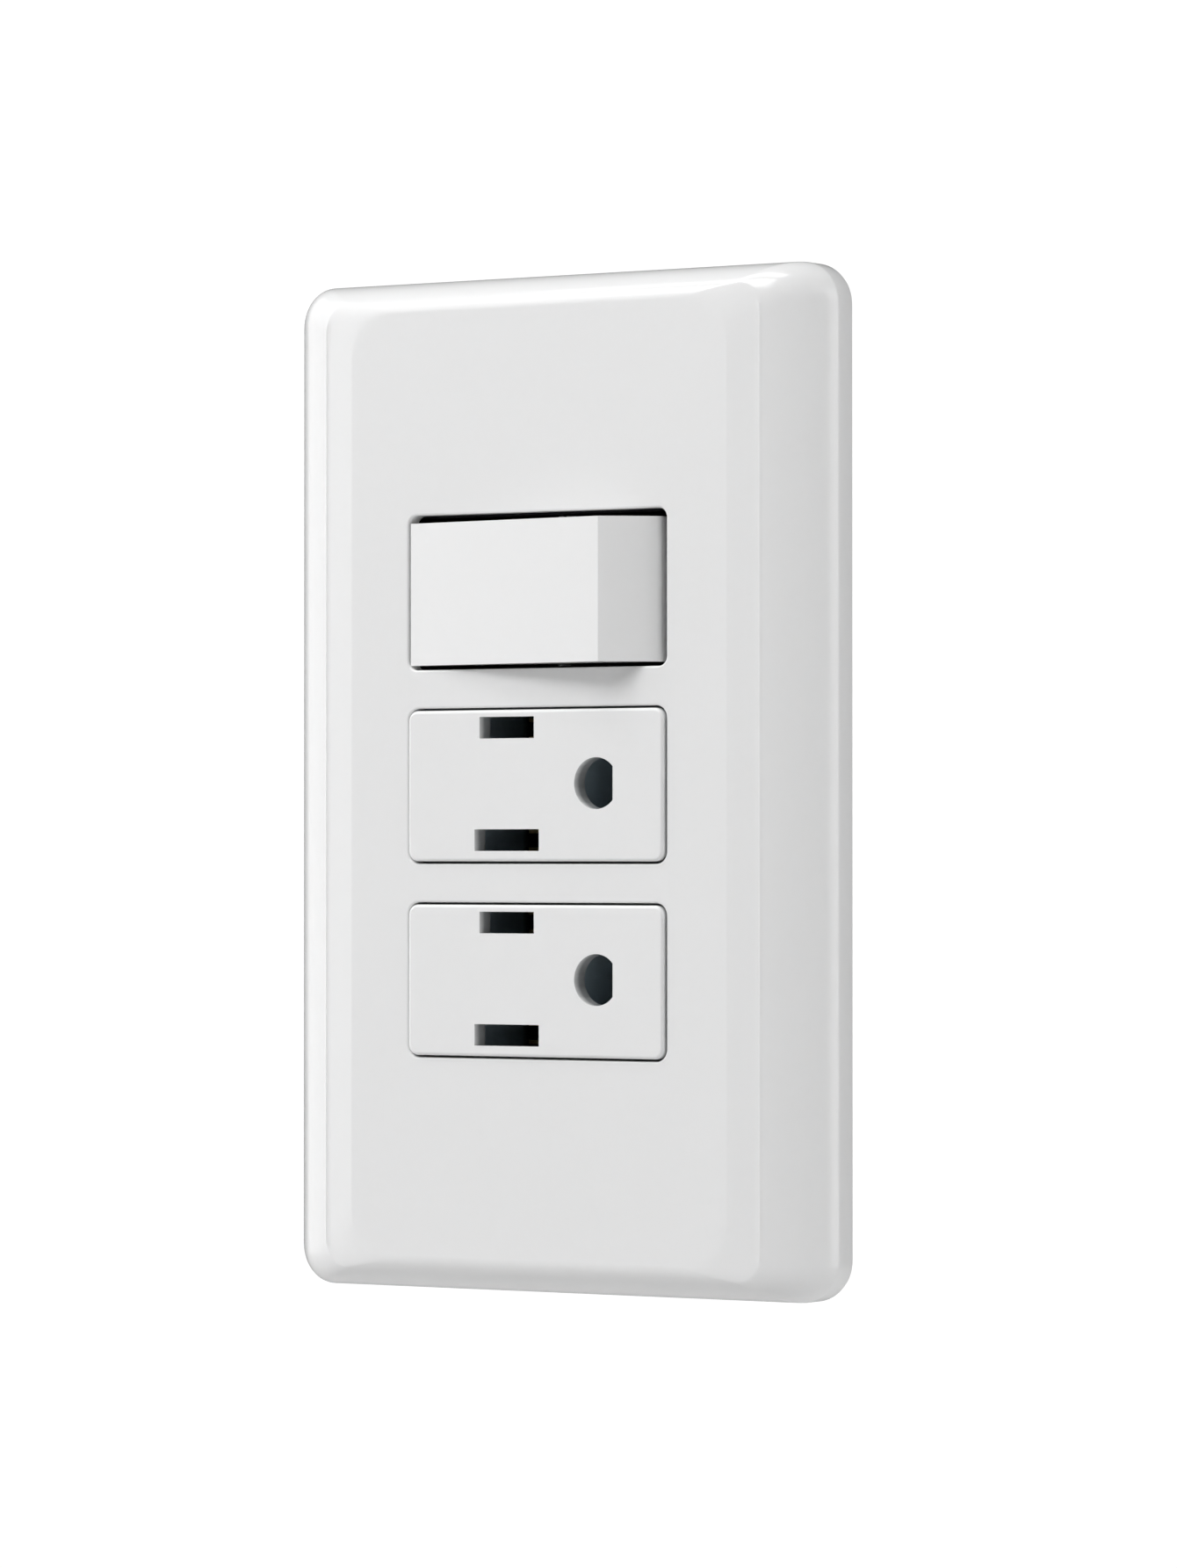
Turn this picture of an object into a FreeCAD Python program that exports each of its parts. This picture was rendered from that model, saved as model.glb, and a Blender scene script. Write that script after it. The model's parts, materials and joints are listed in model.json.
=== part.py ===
"""Clip-on wall plate over a mounting frame that carries one rocker switch and two grounded outlets.

Frame: X to the right, Y into the wall, Z up. The wall plane is Y = 0 and the origin lies midway between
the two wall screws. Lengths are millimetres.
"""

import FreeCAD
import Part
import Sketcher
import math
import os

SHEET = "Sizes"

# Driving sizes: cell name, value, meaning.
SIZES = [
    ("plate_half_width", 36.0, "cover plate, half width"),
    ("plate_half_height", 57.6, "cover plate, half height"),
    ("plate_front", 9.1, "front face of the cover plate ahead of the wall"),
    ("rim_depth", 3.0, "straight side wall of the cover plate"),
    ("rim_radius", 5.4, "outer corner radius of the cover plate"),
    ("wall", 2.0, "cover plate wall thickness"),
    ("roof_inset_x", 9.2, "inner roof edge to the side of the plate"),
    ("roof_inset_z", 4.8, "inner roof edge to the end of the plate"),
    ("window_half_width", 17.25, "window in the plate, half width"),
    ("window_half_height", 8.8, "window in the plate, half height"),
    ("window_radius", 1.4, "window corner radius"),
    ("pitch", 22.0, "distance between module centres"),
    ("row_drop", 0.25, "middle module below the centre of the plate"),
    ("slot_lift", 0.2, "slots and contacts above the centre of their module"),
    ("key_drop", 0.2, "key below the centre of its module"),
    ("hook_x", 18.0, "snap hook, distance from the centre line"),
    ("hook_z", 45.5, "snap hook, height from the centre"),
    ("hook_thick", 1.6, "snap hook, thickness"),
    ("hook_half_width", 3.5, "snap hook, half width"),
    ("hook_tail", 1.2, "snap hook, reach behind the wall plane"),
    ("barb", 0.6, "barb on the snap hook"),
    ("strap_half_width", 25.0, "mounting frame, half width"),
    ("strap_half_height", 53.0, "mounting frame, half height"),
    ("strap_thick", 1.2, "mounting frame, sheet thickness"),
    ("strap_radius", 3.0, "mounting frame, corner radius"),
    ("flange_height", 2.2, "stiffening flange of the mounting frame"),
    ("flange_half_length", 34.0, "stiffening flange, half length"),
    ("opening_half_width", 18.45, "module opening in the frame, half width"),
    ("opening_half_height", 9.35, "module opening in the frame, half height"),
    ("screw_z", 41.65, "wall screw, height from the centre"),
    ("screw_radius", 1.75, "wall screw, thread radius"),
    ("screw_neck", 1.45, "wall screw, radius of the plain neck inside the frame"),
    ("screw_length", 22.0, "wall screw, length behind the wall plane"),
    ("screw_head_radius", 3.5, "wall screw, head radius"),
    ("screw_head", 2.4, "wall screw, head thickness"),
    ("slot_half_width", 2.1, "slotted screw hole, half width"),
    ("slot_half_length", 4.4, "slotted screw hole, half length"),
    ("face_half_width", 17.05, "outlet face, half width"),
    ("face_half_height", 8.55, "outlet face, half height"),
    ("face_radius", 1.2, "outlet face corner radius"),
    ("face_front", 9.5, "outlet face ahead of the wall"),
    ("face_wall", 2.2, "front wall of the outlet face"),
    ("neck_half_width", 18.2, "module neck, half width"),
    ("neck_half_height", 9.25, "module neck, half height"),
    ("neck_front", 6.9, "front of the module neck ahead of the wall"),
    ("module_half_width", 19.5, "module body, half width"),
    ("module_half_height", 10.4, "module body, half height"),
    ("seat", 0.05, "clearance between the frame and the module shoulder"),
    ("joint_depth", 3.0, "split between the front and rear halves of a module"),
    ("module_back", 19.0, "back of the module behind the wall plane"),
    ("tower_half_width", 14.4, "rear half reaching into the face, half width"),
    ("tower_half_height", 7.9, "rear half reaching into the face, half height"),
    ("lug", 1.0, "locking lug on the neck"),
    ("lug_half_width", 3.0, "locking lug, half width"),
    ("blade_x", 3.65, "blade line, distance to the left of the centre"),
    ("blade_z", 6.35, "blade slots, distance from the centre"),
    ("hot_half_width", 3.65, "short blade slot, half width"),
    ("neutral_half_width", 4.32, "long blade slot, half width"),
    ("slot_half_height", 1.22, "blade slots, half height"),
    ("ground_x", 8.27, "ground hole centre, right of the centre"),
    ("ground_radius", 2.9, "ground hole radius"),
    ("ground_flat", 2.2, "flat of the ground hole from its centre"),
    ("chamber_back", 15.0, "back of the contact chambers"),
    ("leaf", 0.5, "contact sheet thickness"),
    ("leaf_front", 0.5, "front of the contact leaves"),
    ("leaf_half_width", 3.5, "blade contact leaf, half width"),
    ("blade_gap", 0.8, "blade contact, half gap"),
    ("pin_gap", 2.25, "ground contact, half gap"),
    ("bridge", 12.0, "contact bridge behind the wall plane"),
    ("bridge_thick", 0.7, "contact bridge thickness"),
    ("tab_x", 16.3, "outer face of the terminal tab"),
    ("tab_front", 6.0, "front edge of the terminal tab"),
    ("tab_low", 2.4, "lower edge of the terminal tab"),
    ("tab_high", 8.6, "upper edge of the terminal tab"),
    ("recess_x", 15.4, "floor of the terminal recess"),
    ("recess_front", 5.0, "front of the terminal recess"),
    ("recess_back", 17.5, "back of the terminal recess"),
    ("terminal_y", 9.0, "terminal screw behind the wall plane"),
    ("terminal_z", 5.5, "terminal screw above the module centre"),
    ("terminal_radius", 1.6, "terminal screw, thread radius"),
    ("terminal_head_radius", 3.0, "terminal screw, head radius"),
    ("terminal_head", 2.0, "terminal screw, head thickness"),
    ("terminal_end", 12.0, "inner end of the terminal screw"),
    ("clamp_thick", 0.8, "terminal clamp plate thickness"),
    ("clamp_half", 2.9, "terminal clamp plate, half side"),
    ("assembly_x", 16.3, "assembly screw from the centre line"),
    ("assembly_radius", 1.1, "assembly screw, thread radius"),
    ("assembly_front", 0.6, "front end of the assembly screw ahead of the wall"),
    ("assembly_head_radius", 2.0, "assembly screw, head radius"),
    ("assembly_head", 1.3, "assembly screw, head thickness"),
    ("slip", 0.1, "clearance between parts that slide together"),
    ("key_well_half_height", 8.55, "well for the key, half height"),
    ("key_well_floor", 1.6, "floor of the key well ahead of the wall"),
    ("stem_slot", 5.2, "opening in the well floor, half width"),
    ("pivot_y", 2.5, "key pivot ahead of the wall"),
    ("pivot_radius", 1.0, "key pivot pin radius"),
    ("pivot_half_length", 9.0, "key pivot pin, half length"),
    ("key_tilt", 4.5, "key tilt at rest, in degrees"),
    ("key_half_height", 8.1, "key, half height"),
    ("key_left", 16.44, "left end of the key from the pivot"),
    ("key_left_rise", 7.81, "left end of the key ahead of the pivot"),
    ("key_left_foot", 5.0, "lower left corner of the key ahead of the pivot"),
    ("ridge_x", 11.08, "ridge of the key from the pivot"),
    ("ridge_rise", 9.02, "ridge of the key ahead of the pivot"),
    ("key_right", 16.3, "right end of the key from the pivot"),
    ("key_right_rise", 4.37, "right end of the key ahead of the pivot"),
    ("key_right_foot", 2.6, "lower right corner of the key ahead of the pivot"),
    ("key_skin", 1.5, "key wall thickness"),
    ("hub_radius", 2.2, "key hub radius"),
    ("stem_half", 2.0, "key stem, half thickness"),
    ("stem_half_width", 2.6, "key stem, half width"),
    ("stem_end", 5.9, "end of the key stem behind the pivot"),
    ("bore_radius", 1.6, "plunger bore radius"),
    ("bore_start", 1.6, "bottom of the plunger bore behind the pivot"),
    ("plunger_radius", 1.52, "plunger radius"),
    ("plunger_start", 4.2, "rear end of the plunger behind the pivot"),
    ("plunger_tip", 8.95, "tip of the plunger behind the pivot"),
    ("plunger_nose", 1.0, "radius of the plunger nose"),
    ("spring_radius", 1.05, "mean radius of the key spring"),
    ("spring_wire", 0.18, "wire radius of the key spring"),
    ("spring_turns", 4.0, "turns of the key spring"),
    ("seesaw_y", 8.0, "moving contact pivot behind the wall plane"),
    ("seesaw_tilt", 5.4, "moving contact tilt at rest, in degrees"),
    ("seesaw_half_length", 8.0, "moving contact, half length"),
    ("seesaw_half_width", 2.4, "moving contact, half width"),
    ("seesaw_thick", 0.8, "moving contact sheet thickness"),
    ("seesaw_rise", 1.4, "front of the moving contact ahead of its pivot"),
    ("knuckle_radius", 0.8, "moving contact knuckle radius"),
    ("knuckle_half_length", 4.2, "moving contact knuckle, half length"),
    ("ear_near", 3.0, "inner face of the fulcrum ears"),
    ("ear_thick", 0.7, "fulcrum ear thickness"),
    ("ear_half", 1.8, "fulcrum ear, half width"),
    ("ear_front", 6.7, "front edge of the fulcrum ears"),
    ("tip_x", 6.4, "contact tips from the centre line"),
    ("tip_radius", 1.5, "contact tip radius"),
    ("tip_thick", 0.6, "contact tip thickness"),
    ("fixed_tip_front", 8.8, "front of the fixed contact tip"),
    ("switch_chamber", 10.5, "switch contact chamber, half width"),
    ("switch_chamber_z", 5.2, "switch contact chamber, half height"),
    ("switch_chamber_back", 14.0, "back of the switch contact chamber"),
]

# Sections of the plate's crown: distance behind the front face, then insets from the side and from the
# end, and the corner radius. The last one is the edge of the flat front.
CROWN = [
    ("crown_a", 4.2, 1.48, 0.20, 5.1),
    ("crown_b", 2.6, 3.25, 0.72, 4.7),
    ("crown_c", 1.4, 5.14, 1.45, 4.2),
    ("crown_d", 0.6, 7.0, 2.27, 3.7),
    ("crown_e", 0.0, 11.0, 4.0, 3.2),
]


class Size:
    """A sheet value carried as a number together with the expression that yields it."""

    def __init__(self, number, text):
        self.number = number
        self.text = text

    def __neg__(self):
        return Size(-self.number, "(-1 * " + self.text + ")")

    def __add__(self, other):
        other = as_size(other)
        return Size(self.number + other.number, "(" + self.text + " + " + other.text + ")")

    def __sub__(self, other):
        other = as_size(other)
        return Size(self.number - other.number, "(" + self.text + " - " + other.text + ")")

    def __mul__(self, factor):
        return Size(self.number * factor, "(" + self.text + " * " + repr(factor) + ")")


def as_size(value):
    """Turn a plain number into a Size."""
    if isinstance(value, Size):
        return value
    return Size(float(value), repr(float(value)))


class Sizes:
    """All driving sizes, read by name as attributes."""

    def __init__(self, doc):
        sheet = doc.addObject("Spreadsheet::Sheet", SHEET)
        rows = list(SIZES)
        for name, depth, inset_x, inset_z, radius in CROWN:
            rows.append((name + "_depth", depth, "crown section behind the front face"))
            rows.append((name + "_inset_x", inset_x, "crown section inset from the side"))
            rows.append((name + "_inset_z", inset_z, "crown section inset from the end"))
            rows.append((name + "_radius", radius, "crown section corner radius"))
        for line, (name, value, meaning) in enumerate(rows, start=1):
            sheet.set("A" + str(line), name)
            sheet.set("B" + str(line), repr(value))
            sheet.set("C" + str(line), meaning)
            sheet.setAlias("B" + str(line), name)
            setattr(self, name, Size(value, SHEET + "." + name))
        doc.recompute()


class Builder:
    """One PartDesign body and the sketched features added to it."""

    PLANES = {"front": "XZ_Plane", "top": "XY_Plane", "side": "YZ_Plane"}

    def __init__(self, doc, label):
        self.doc = doc
        self.body = doc.addObject("PartDesign::Body", label)
        self.body.Label = label
        self.count = 0

    def name(self, kind):
        self.count += 1
        return self.body.Name + "_" + kind + str(self.count)

    def sketch(self, plane, offset=0.0):
        """Start a sketch on a plane of the body's own origin, moved along the plane's normal."""
        sketch = self.body.newObject("Sketcher::SketchObject", self.name("sketch"))
        for feature in self.body.Origin.OriginFeatures:
            if feature.Role == self.PLANES[plane]:
                sketch.AttachmentSupport = [(feature, "")]
        sketch.MapMode = "FlatFace"
        offset = as_size(offset)
        sketch.AttachmentOffset = FreeCAD.Placement(
            FreeCAD.Vector(0, 0, offset.number), FreeCAD.Rotation())
        sketch.setExpression("AttachmentOffset.Base.z", offset.text)
        return sketch

    def feature(self, kind, sketch, length, symmetric=False, backwards=False):
        feature = self.body.newObject("PartDesign::" + kind, self.name(kind.lower()))
        feature.Profile = sketch
        length = as_size(length)
        feature.Length = length.number
        feature.setExpression("Length", length.text)
        feature.SideType = "Symmetric" if symmetric else "One side"
        feature.Reversed = backwards
        self.doc.recompute()
        return feature

    def slab(self, draw, back, front):
        """Add material between two depths behind the wall plane; draw fills the sketch."""
        back = as_size(back)
        sketch = self.sketch("front", -back)
        draw(sketch)
        return self.feature("Pad", sketch, back - front)

    def hole(self, draw, front, back):
        """Remove material between two depths behind the wall plane."""
        front = as_size(front)
        sketch = self.sketch("front", -front)
        draw(sketch)
        return self.feature("Pocket", sketch, as_size(back) - front)

    def cross(self, draw, half_length, kind="Pad"):
        """Add or remove a profile drawn across the vertical direction, equally up and down."""
        sketch = self.sketch("top")
        draw(sketch)
        return self.feature(kind, sketch, half_length * 2.0, symmetric=True)

    def spin(self, draw, axis="V_Axis", kind="Revolution", plane="top"):
        """Turn a profile a full turn round one axis of its sketch."""
        sketch = self.sketch(plane)
        draw(sketch)
        feature = self.body.newObject("PartDesign::" + kind, self.name(kind.lower()))
        feature.Profile = sketch
        feature.ReferenceAxis = (sketch, [axis])
        feature.Angle = 360.0
        self.doc.recompute()
        return feature

    def loft(self, sections, kind="AdditiveLoft", ruled=False):
        """Skin a row of rounded rectangles, each given as depth, half width, half height, radius."""
        sketches = []
        for depth, half_x, half_z, radius in sections:
            sketch = self.sketch("front", -depth)
            rounded(as_size(0.0), as_size(0.0), half_x, half_z, radius)(sketch)
            sketches.append(sketch)
        feature = self.body.newObject("PartDesign::" + kind, self.name("loft"))
        feature.Profile = sketches[0]
        feature.Sections = sketches[1:]
        feature.Ruled = ruled
        self.doc.recompute()
        return feature

    def soften(self, chosen, radius, kind="Fillet"):
        """Round or bevel the edges of the current solid that the chooser accepts."""
        base = self.body.Tip
        names = []
        for index, edge in enumerate(base.Shape.Edges, start=1):
            if chosen(edge):
                names.append("Edge" + str(index))
        feature = self.body.newObject("PartDesign::" + kind, self.name(kind.lower()))
        feature.Base = (base, names)
        amount = "Radius" if kind == "Fillet" else "Size"
        setattr(feature, amount, radius)
        self.doc.recompute()
        return feature


def fix(sketch, kind, geometry, point, size):
    """Tie a point of the sketch to the sketch origin with a driving distance."""
    size = as_size(size)
    index = sketch.addConstraint(Sketcher.Constraint(kind, -1, 1, geometry, point, size.number))
    label = "place" + str(index)
    sketch.renameConstraint(index, label)
    sketch.setExpression("Constraints." + label, size.text)


def add_polygon(sketch, corners):
    """Closed polygon whose corners are driven by the sheet."""
    first = sketch.GeometryCount
    points = [(as_size(x), as_size(y)) for x, y in corners]
    for start, end in zip(points, points[1:] + points[:1]):
        sketch.addGeometry(Part.LineSegment(
            FreeCAD.Vector(start[0].number, start[1].number, 0),
            FreeCAD.Vector(end[0].number, end[1].number, 0)), False)
    for index in range(len(points)):
        following = (index + 1) % len(points)
        sketch.addConstraint(Sketcher.Constraint("Coincident", first + index, 2, first + following, 1))
    for index, (x, y) in enumerate(points):
        fix(sketch, "DistanceX", first + index, 1, x)
        fix(sketch, "DistanceY", first + index, 1, y)


def add_arc(sketch, centre, radius, start, end, line_before, line_after):
    """Corner arc that joins the end of one line to the start of the next."""
    arc = sketch.addGeometry(Part.ArcOfCircle(
        Part.Circle(FreeCAD.Vector(centre[0], centre[1], 0), FreeCAD.Vector(0, 0, 1), radius.number),
        start, end), False)
    sketch.addConstraint(Sketcher.Constraint("Coincident", arc, 1, line_before, 2))
    sketch.addConstraint(Sketcher.Constraint("Coincident", arc, 2, line_after, 1))
    index = sketch.addConstraint(Sketcher.Constraint("Radius", arc, radius.number))
    sketch.renameConstraint(index, "corner" + str(index))
    sketch.setExpression("Constraints.corner" + str(index), radius.text)


def add_rounded(sketch, centre_x, centre_z, half_x, half_z, radius):
    """Rectangle with four round corners."""
    centre_x, centre_z, half_x, half_z, radius = [
        as_size(value) for value in (centre_x, centre_z, half_x, half_z, radius)]
    right = centre_x + half_x
    left = centre_x - half_x
    high = centre_z + half_z
    low = centre_z - half_z
    sides = [
        ((left + radius, low), (right - radius, low)),
        ((right, low + radius), (right, high - radius)),
        ((right - radius, high), (left + radius, high)),
        ((left, high - radius), (left, low + radius)),
    ]
    first = sketch.GeometryCount
    for start, end in sides:
        sketch.addGeometry(Part.LineSegment(
            FreeCAD.Vector(start[0].number, start[1].number, 0),
            FreeCAD.Vector(end[0].number, end[1].number, 0)), False)
    for index, ends in enumerate(sides):
        for point, (x, y) in enumerate(ends, start=1):
            fix(sketch, "DistanceX", first + index, point, x)
            fix(sketch, "DistanceY", first + index, point, y)
    centres = [
        (right - radius, low + radius),
        (right - radius, high - radius),
        (left + radius, high - radius),
        (left + radius, low + radius),
    ]
    for index, (x, y) in enumerate(centres):
        begin = math.radians(-90 + 90 * index)
        add_arc(sketch, (x.number, y.number), radius, begin, begin + math.pi / 2,
                first + index, first + (index + 1) % 4)


def add_circle(sketch, x, y, radius):
    """Full circle placed and sized by the sheet."""
    x, y, radius = as_size(x), as_size(y), as_size(radius)
    circle = sketch.addGeometry(Part.Circle(
        FreeCAD.Vector(x.number, y.number, 0), FreeCAD.Vector(0, 0, 1), radius.number), False)
    fix(sketch, "DistanceX", circle, 3, x)
    fix(sketch, "DistanceY", circle, 3, y)
    index = sketch.addConstraint(Sketcher.Constraint("Radius", circle, radius.number))
    sketch.renameConstraint(index, "radius" + str(index))
    sketch.setExpression("Constraints.radius" + str(index), radius.text)


def add_ground_hole(sketch, x, z, radius, flat):
    """Round hole with a flat on its right."""
    x, z, radius, flat = as_size(x), as_size(z), as_size(radius), as_size(flat)
    half = math.sqrt(radius.number ** 2 - flat.number ** 2)
    half_text = "sqrt(" + radius.text + " * " + radius.text + " - " + flat.text + " * " + flat.text + ")"
    half = Size(half, half_text)
    bottom = (x + flat, z - half)
    top = (x + flat, z + half)
    line = sketch.addGeometry(Part.LineSegment(
        FreeCAD.Vector(bottom[0].number, bottom[1].number, 0),
        FreeCAD.Vector(top[0].number, top[1].number, 0)), False)
    for point, (u, v) in enumerate((bottom, top), start=1):
        fix(sketch, "DistanceX", line, point, u)
        fix(sketch, "DistanceY", line, point, v)
    start = math.atan2(half.number, flat.number)
    add_arc(sketch, (x.number, z.number), radius, start, 2 * math.pi - start, line, line)


def drawing(add, *sizes):
    """A sketch filler that calls one of the outline functions with fixed sizes."""
    return lambda sketch: add(sketch, *sizes)


def span(low_x, high_x, low_z, high_z):
    """Sketch filler for a plain rectangle given by its sides."""
    return drawing(add_polygon, [(low_x, low_z), (high_x, low_z), (high_x, high_z), (low_x, high_z)])


def rounded(centre_x, centre_z, half_x, half_z, radius):
    """Sketch filler for a rectangle with round corners."""
    return drawing(add_rounded, centre_x, centre_z, half_x, half_z, radius)


def ordered(a, b):
    """Two sizes, the smaller one first."""
    return (a, b) if as_size(a).number <= as_size(b).number else (b, a)


def cylinder(doc, name, radius, start, along, length):
    """Cylinder that runs from its start point along one axis."""
    turns = {
        "x": FreeCAD.Rotation(FreeCAD.Vector(0, 1, 0), 90),
        "y": FreeCAD.Rotation(FreeCAD.Vector(1, 0, 0), -90),
        "z": FreeCAD.Rotation(),
    }
    part = doc.addObject("Part::Cylinder", name)
    part.setExpression("Radius", as_size(radius).text)
    part.setExpression("Height", as_size(length).text)
    part.Placement.Rotation = turns[along]
    for letter, size in zip("xyz", start):
        part.setExpression("Placement.Base." + letter, as_size(size).text)
    return part


def block(doc, name, low, high):
    """Box between two opposite corners."""
    part = doc.addObject("Part::Box", name)
    for side, first, last in zip(("Length", "Width", "Height"), low, high):
        part.setExpression(side, (as_size(last) - first).text)
    for letter, size in zip("xyz", low):
        part.setExpression("Placement.Base." + letter, as_size(size).text)
    return part


def joined(doc, name, parts):
    fused = doc.addObject("Part::MultiFuse", name)
    fused.Shapes = parts
    return fused


def removed(doc, name, base, tool):
    cut = doc.addObject("Part::Cut", name)
    cut.Base = base
    cut.Tool = tool
    return cut


def grouped(doc, label, parts):
    """Several separate solids kept as one sub-part."""
    group = doc.addObject("Part::Compound", label)
    group.Label = label
    group.Links = parts
    return group


def module_row(z, row):
    """Height of a module's centre; row is 1 for the switch, 0 and -1 for the outlets."""
    return z.pitch * row - z.row_drop


def cover_plate(doc, z):
    """Moulded shell with a domed edge, three windows and four snap hooks."""
    build = Builder(doc, "cover_plate")
    front = -z.plate_front
    rim = rounded(0.0, 0.0, z.plate_half_width, z.plate_half_height, z.rim_radius)
    build.slab(rim, 0.0, -z.rim_depth)
    sections = [(-z.rim_depth, z.plate_half_width, z.plate_half_height, z.rim_radius)]
    for name, depth, inset_x, inset_z, radius in CROWN:
        sections.append((
            front + getattr(z, name + "_depth"),
            z.plate_half_width - getattr(z, name + "_inset_x"),
            z.plate_half_height - getattr(z, name + "_inset_z"),
            getattr(z, name + "_radius")))
    build.loft(sections[:-1])
    build.loft(sections[-2:], ruled=True)
    inner_x = z.plate_half_width - z.wall
    inner_z = z.plate_half_height - z.wall
    inner_radius = z.rim_radius - z.wall
    roof = front + z.wall
    build.hole(rounded(0.0, 0.0, inner_x, inner_z, inner_radius), -z.rim_depth, 0.0)
    build.loft([
        (-z.rim_depth, inner_x, inner_z, inner_radius),
        (roof, z.plate_half_width - z.roof_inset_x, z.plate_half_height - z.roof_inset_z, inner_radius),
    ], kind="SubtractiveLoft", ruled=True)
    for row in (-1.0, 0.0, 1.0):
        window = rounded(0.0, module_row(z, row), z.window_half_width, z.window_half_height, z.window_radius)
        build.hole(window, front - 1.0, roof + 1.0)
    for side in (-1.0, 1.0):
        for end in (-1.0, 1.0):
            hook_x = z.hook_x * side
            middle = z.hook_z * end
            low = middle - z.hook_half_width
            high = middle + z.hook_half_width
            inner, outer = ordered(hook_x - z.hook_thick * 0.5, hook_x + z.hook_thick * 0.5)
            build.slab(span(inner, outer, low, high), z.hook_tail, roof - 0.5)
            tooth = hook_x + (z.hook_thick * 0.5 + z.barb) * side
            inner, outer = ordered(hook_x, tooth)
            build.slab(span(inner, outer, low, high), z.hook_tail, z.slip)
    return build.body


def mounting_frame(doc, z):
    """Steel strap with three module openings, screw slots, hook slots and stiffening flanges."""
    build = Builder(doc, "mounting_frame")
    front = -z.strap_thick
    outline = rounded(0.0, 0.0, z.strap_half_width, z.strap_half_height, z.strap_radius)
    build.slab(outline, 0.0, front)
    for side in (-1.0, 1.0):
        edge = z.strap_half_width * side
        inner, outer = ordered(edge, edge - z.strap_thick * side)
        flange = span(inner, outer, -z.flange_half_length, z.flange_half_length)
        build.slab(flange, 0.0, front - z.flange_height)
    for row in (-1.0, 0.0, 1.0):
        opening = rounded(0.0, module_row(z, row), z.opening_half_width, z.opening_half_height, 0.5)
        build.hole(opening, front - 0.5, 0.0)
    for end in (-1.0, 1.0):
        slot = rounded(0.0, z.screw_z * end, z.slot_half_length, z.slot_half_width,
                       z.slot_half_width - 0.01)
        build.hole(slot, front - 0.5, 0.0)
        for side in (-1.0, 1.0):
            middle = z.hook_z * end
            inner, outer = ordered((z.hook_x - z.hook_thick * 0.5 - 0.3) * side,
                                   (z.hook_x + z.hook_thick * 0.5 + 0.3) * side)
            gap = span(inner, outer, middle - z.hook_half_width - 0.4, middle + z.hook_half_width + 0.4)
            build.hole(gap, front - 0.5, 0.0)
    return build.body


def mounting_screws(doc, z):
    """Two oval-head wall screws with straight slots."""
    screws = []
    for end, word in ((-1.0, "low"), (1.0, "high")):
        height = z.screw_z * end
        name = "wall_screw_" + word
        seat = -z.strap_thick
        top = seat - z.screw_head
        neck = cylinder(doc, name + "_neck", z.screw_neck, (0.0, seat, height), "y", z.strap_thick)
        shank = cylinder(doc, name + "_shank", z.screw_radius, (0.0, 0.0, height), "y", z.screw_length)
        head = cylinder(doc, name + "_head", z.screw_head_radius, (0.0, top, height), "y", z.screw_head)
        slot = block(doc, name + "_slot",
                     (-z.screw_head_radius - 0.5, top - 0.1, height - 0.5),
                     (z.screw_head_radius + 0.5, top + 1.1, height + 0.5))
        whole = joined(doc, name + "_whole", [shank, neck, head])
        screws.append(removed(doc, name, whole, slot))
    return grouped(doc, "mounting_screws", screws)


def add_lugs(build, z, row_z):
    """Wedge lugs on the neck that lock the module in front of the frame."""
    seat = -z.strap_thick - z.slip
    for side in (-1.0, 1.0):
        root = (z.neck_half_width - 0.4) * side
        crest = (z.neck_half_width + z.lug) * side
        inner, outer = ordered(root, crest)
        lug = span(inner, outer, row_z - z.lug_half_width, row_z + z.lug_half_width)
        build.slab(lug, seat, seat - z.lug)


def cut_assembly_holes(build, z, row_z, front, back):
    """Holes for the two screws that hold the halves of a module together."""
    for side in (-1.0, 1.0):
        build.hole(drawing(add_circle, z.assembly_x * side, row_z, z.assembly_radius), front, back)


def outlet_face(doc, z, label, row_z, slot_z):
    """White front half of an outlet, with two blade slots, a ground hole and a shouldered neck."""
    build = Builder(doc, label)
    front = -z.face_front
    build.slab(rounded(0.0, row_z, z.module_half_width, z.module_half_height, 1.0), z.joint_depth, z.seat)
    build.slab(rounded(0.0, row_z, z.neck_half_width, z.neck_half_height, 0.8), z.seat, -z.neck_front)
    build.slab(rounded(0.0, row_z, z.face_half_width, z.face_half_height, z.face_radius),
               -z.neck_front, front)
    cavity = rounded(0.0, row_z, z.tower_half_width + z.slip, z.tower_half_height + z.slip, 0.5)
    build.hole(cavity, front + z.face_wall, z.joint_depth)
    for half_width, side in ((z.hot_half_width, 1.0), (z.neutral_half_width, -1.0)):
        middle = slot_z + z.blade_z * side
        slot = span(-z.blade_x - half_width, -z.blade_x + half_width,
                    middle - z.slot_half_height, middle + z.slot_half_height)
        build.hole(slot, front - 0.5, front + z.face_wall + 0.5)
    ground = drawing(add_ground_hole, z.ground_x, slot_z, z.ground_radius, z.ground_flat)
    build.hole(ground, front - 0.5, front + z.face_wall + 0.5)
    add_lugs(build, z, row_z)
    cut_assembly_holes(build, z, row_z, -z.assembly_front - 0.4, z.joint_depth)
    build.soften(lambda edge: on_front(edge, front, z.face_half_width, row_z, z.face_half_height), 0.4)
    return build.body


def on_front(edge, front, half_width, row_z, half_height):
    """Whether an edge is on the outline of the front face."""
    box = edge.BoundBox
    flat = abs(box.YMax - front.number) < 1e-4 and abs(box.YMin - front.number) < 1e-4
    row = row_z.number
    side = max(abs(box.XMin), abs(box.XMax)) > half_width.number - 1e-3
    end = max(abs(box.ZMin - row), abs(box.ZMax - row)) > half_height.number - 1e-3
    return flat and (side or end)


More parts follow.
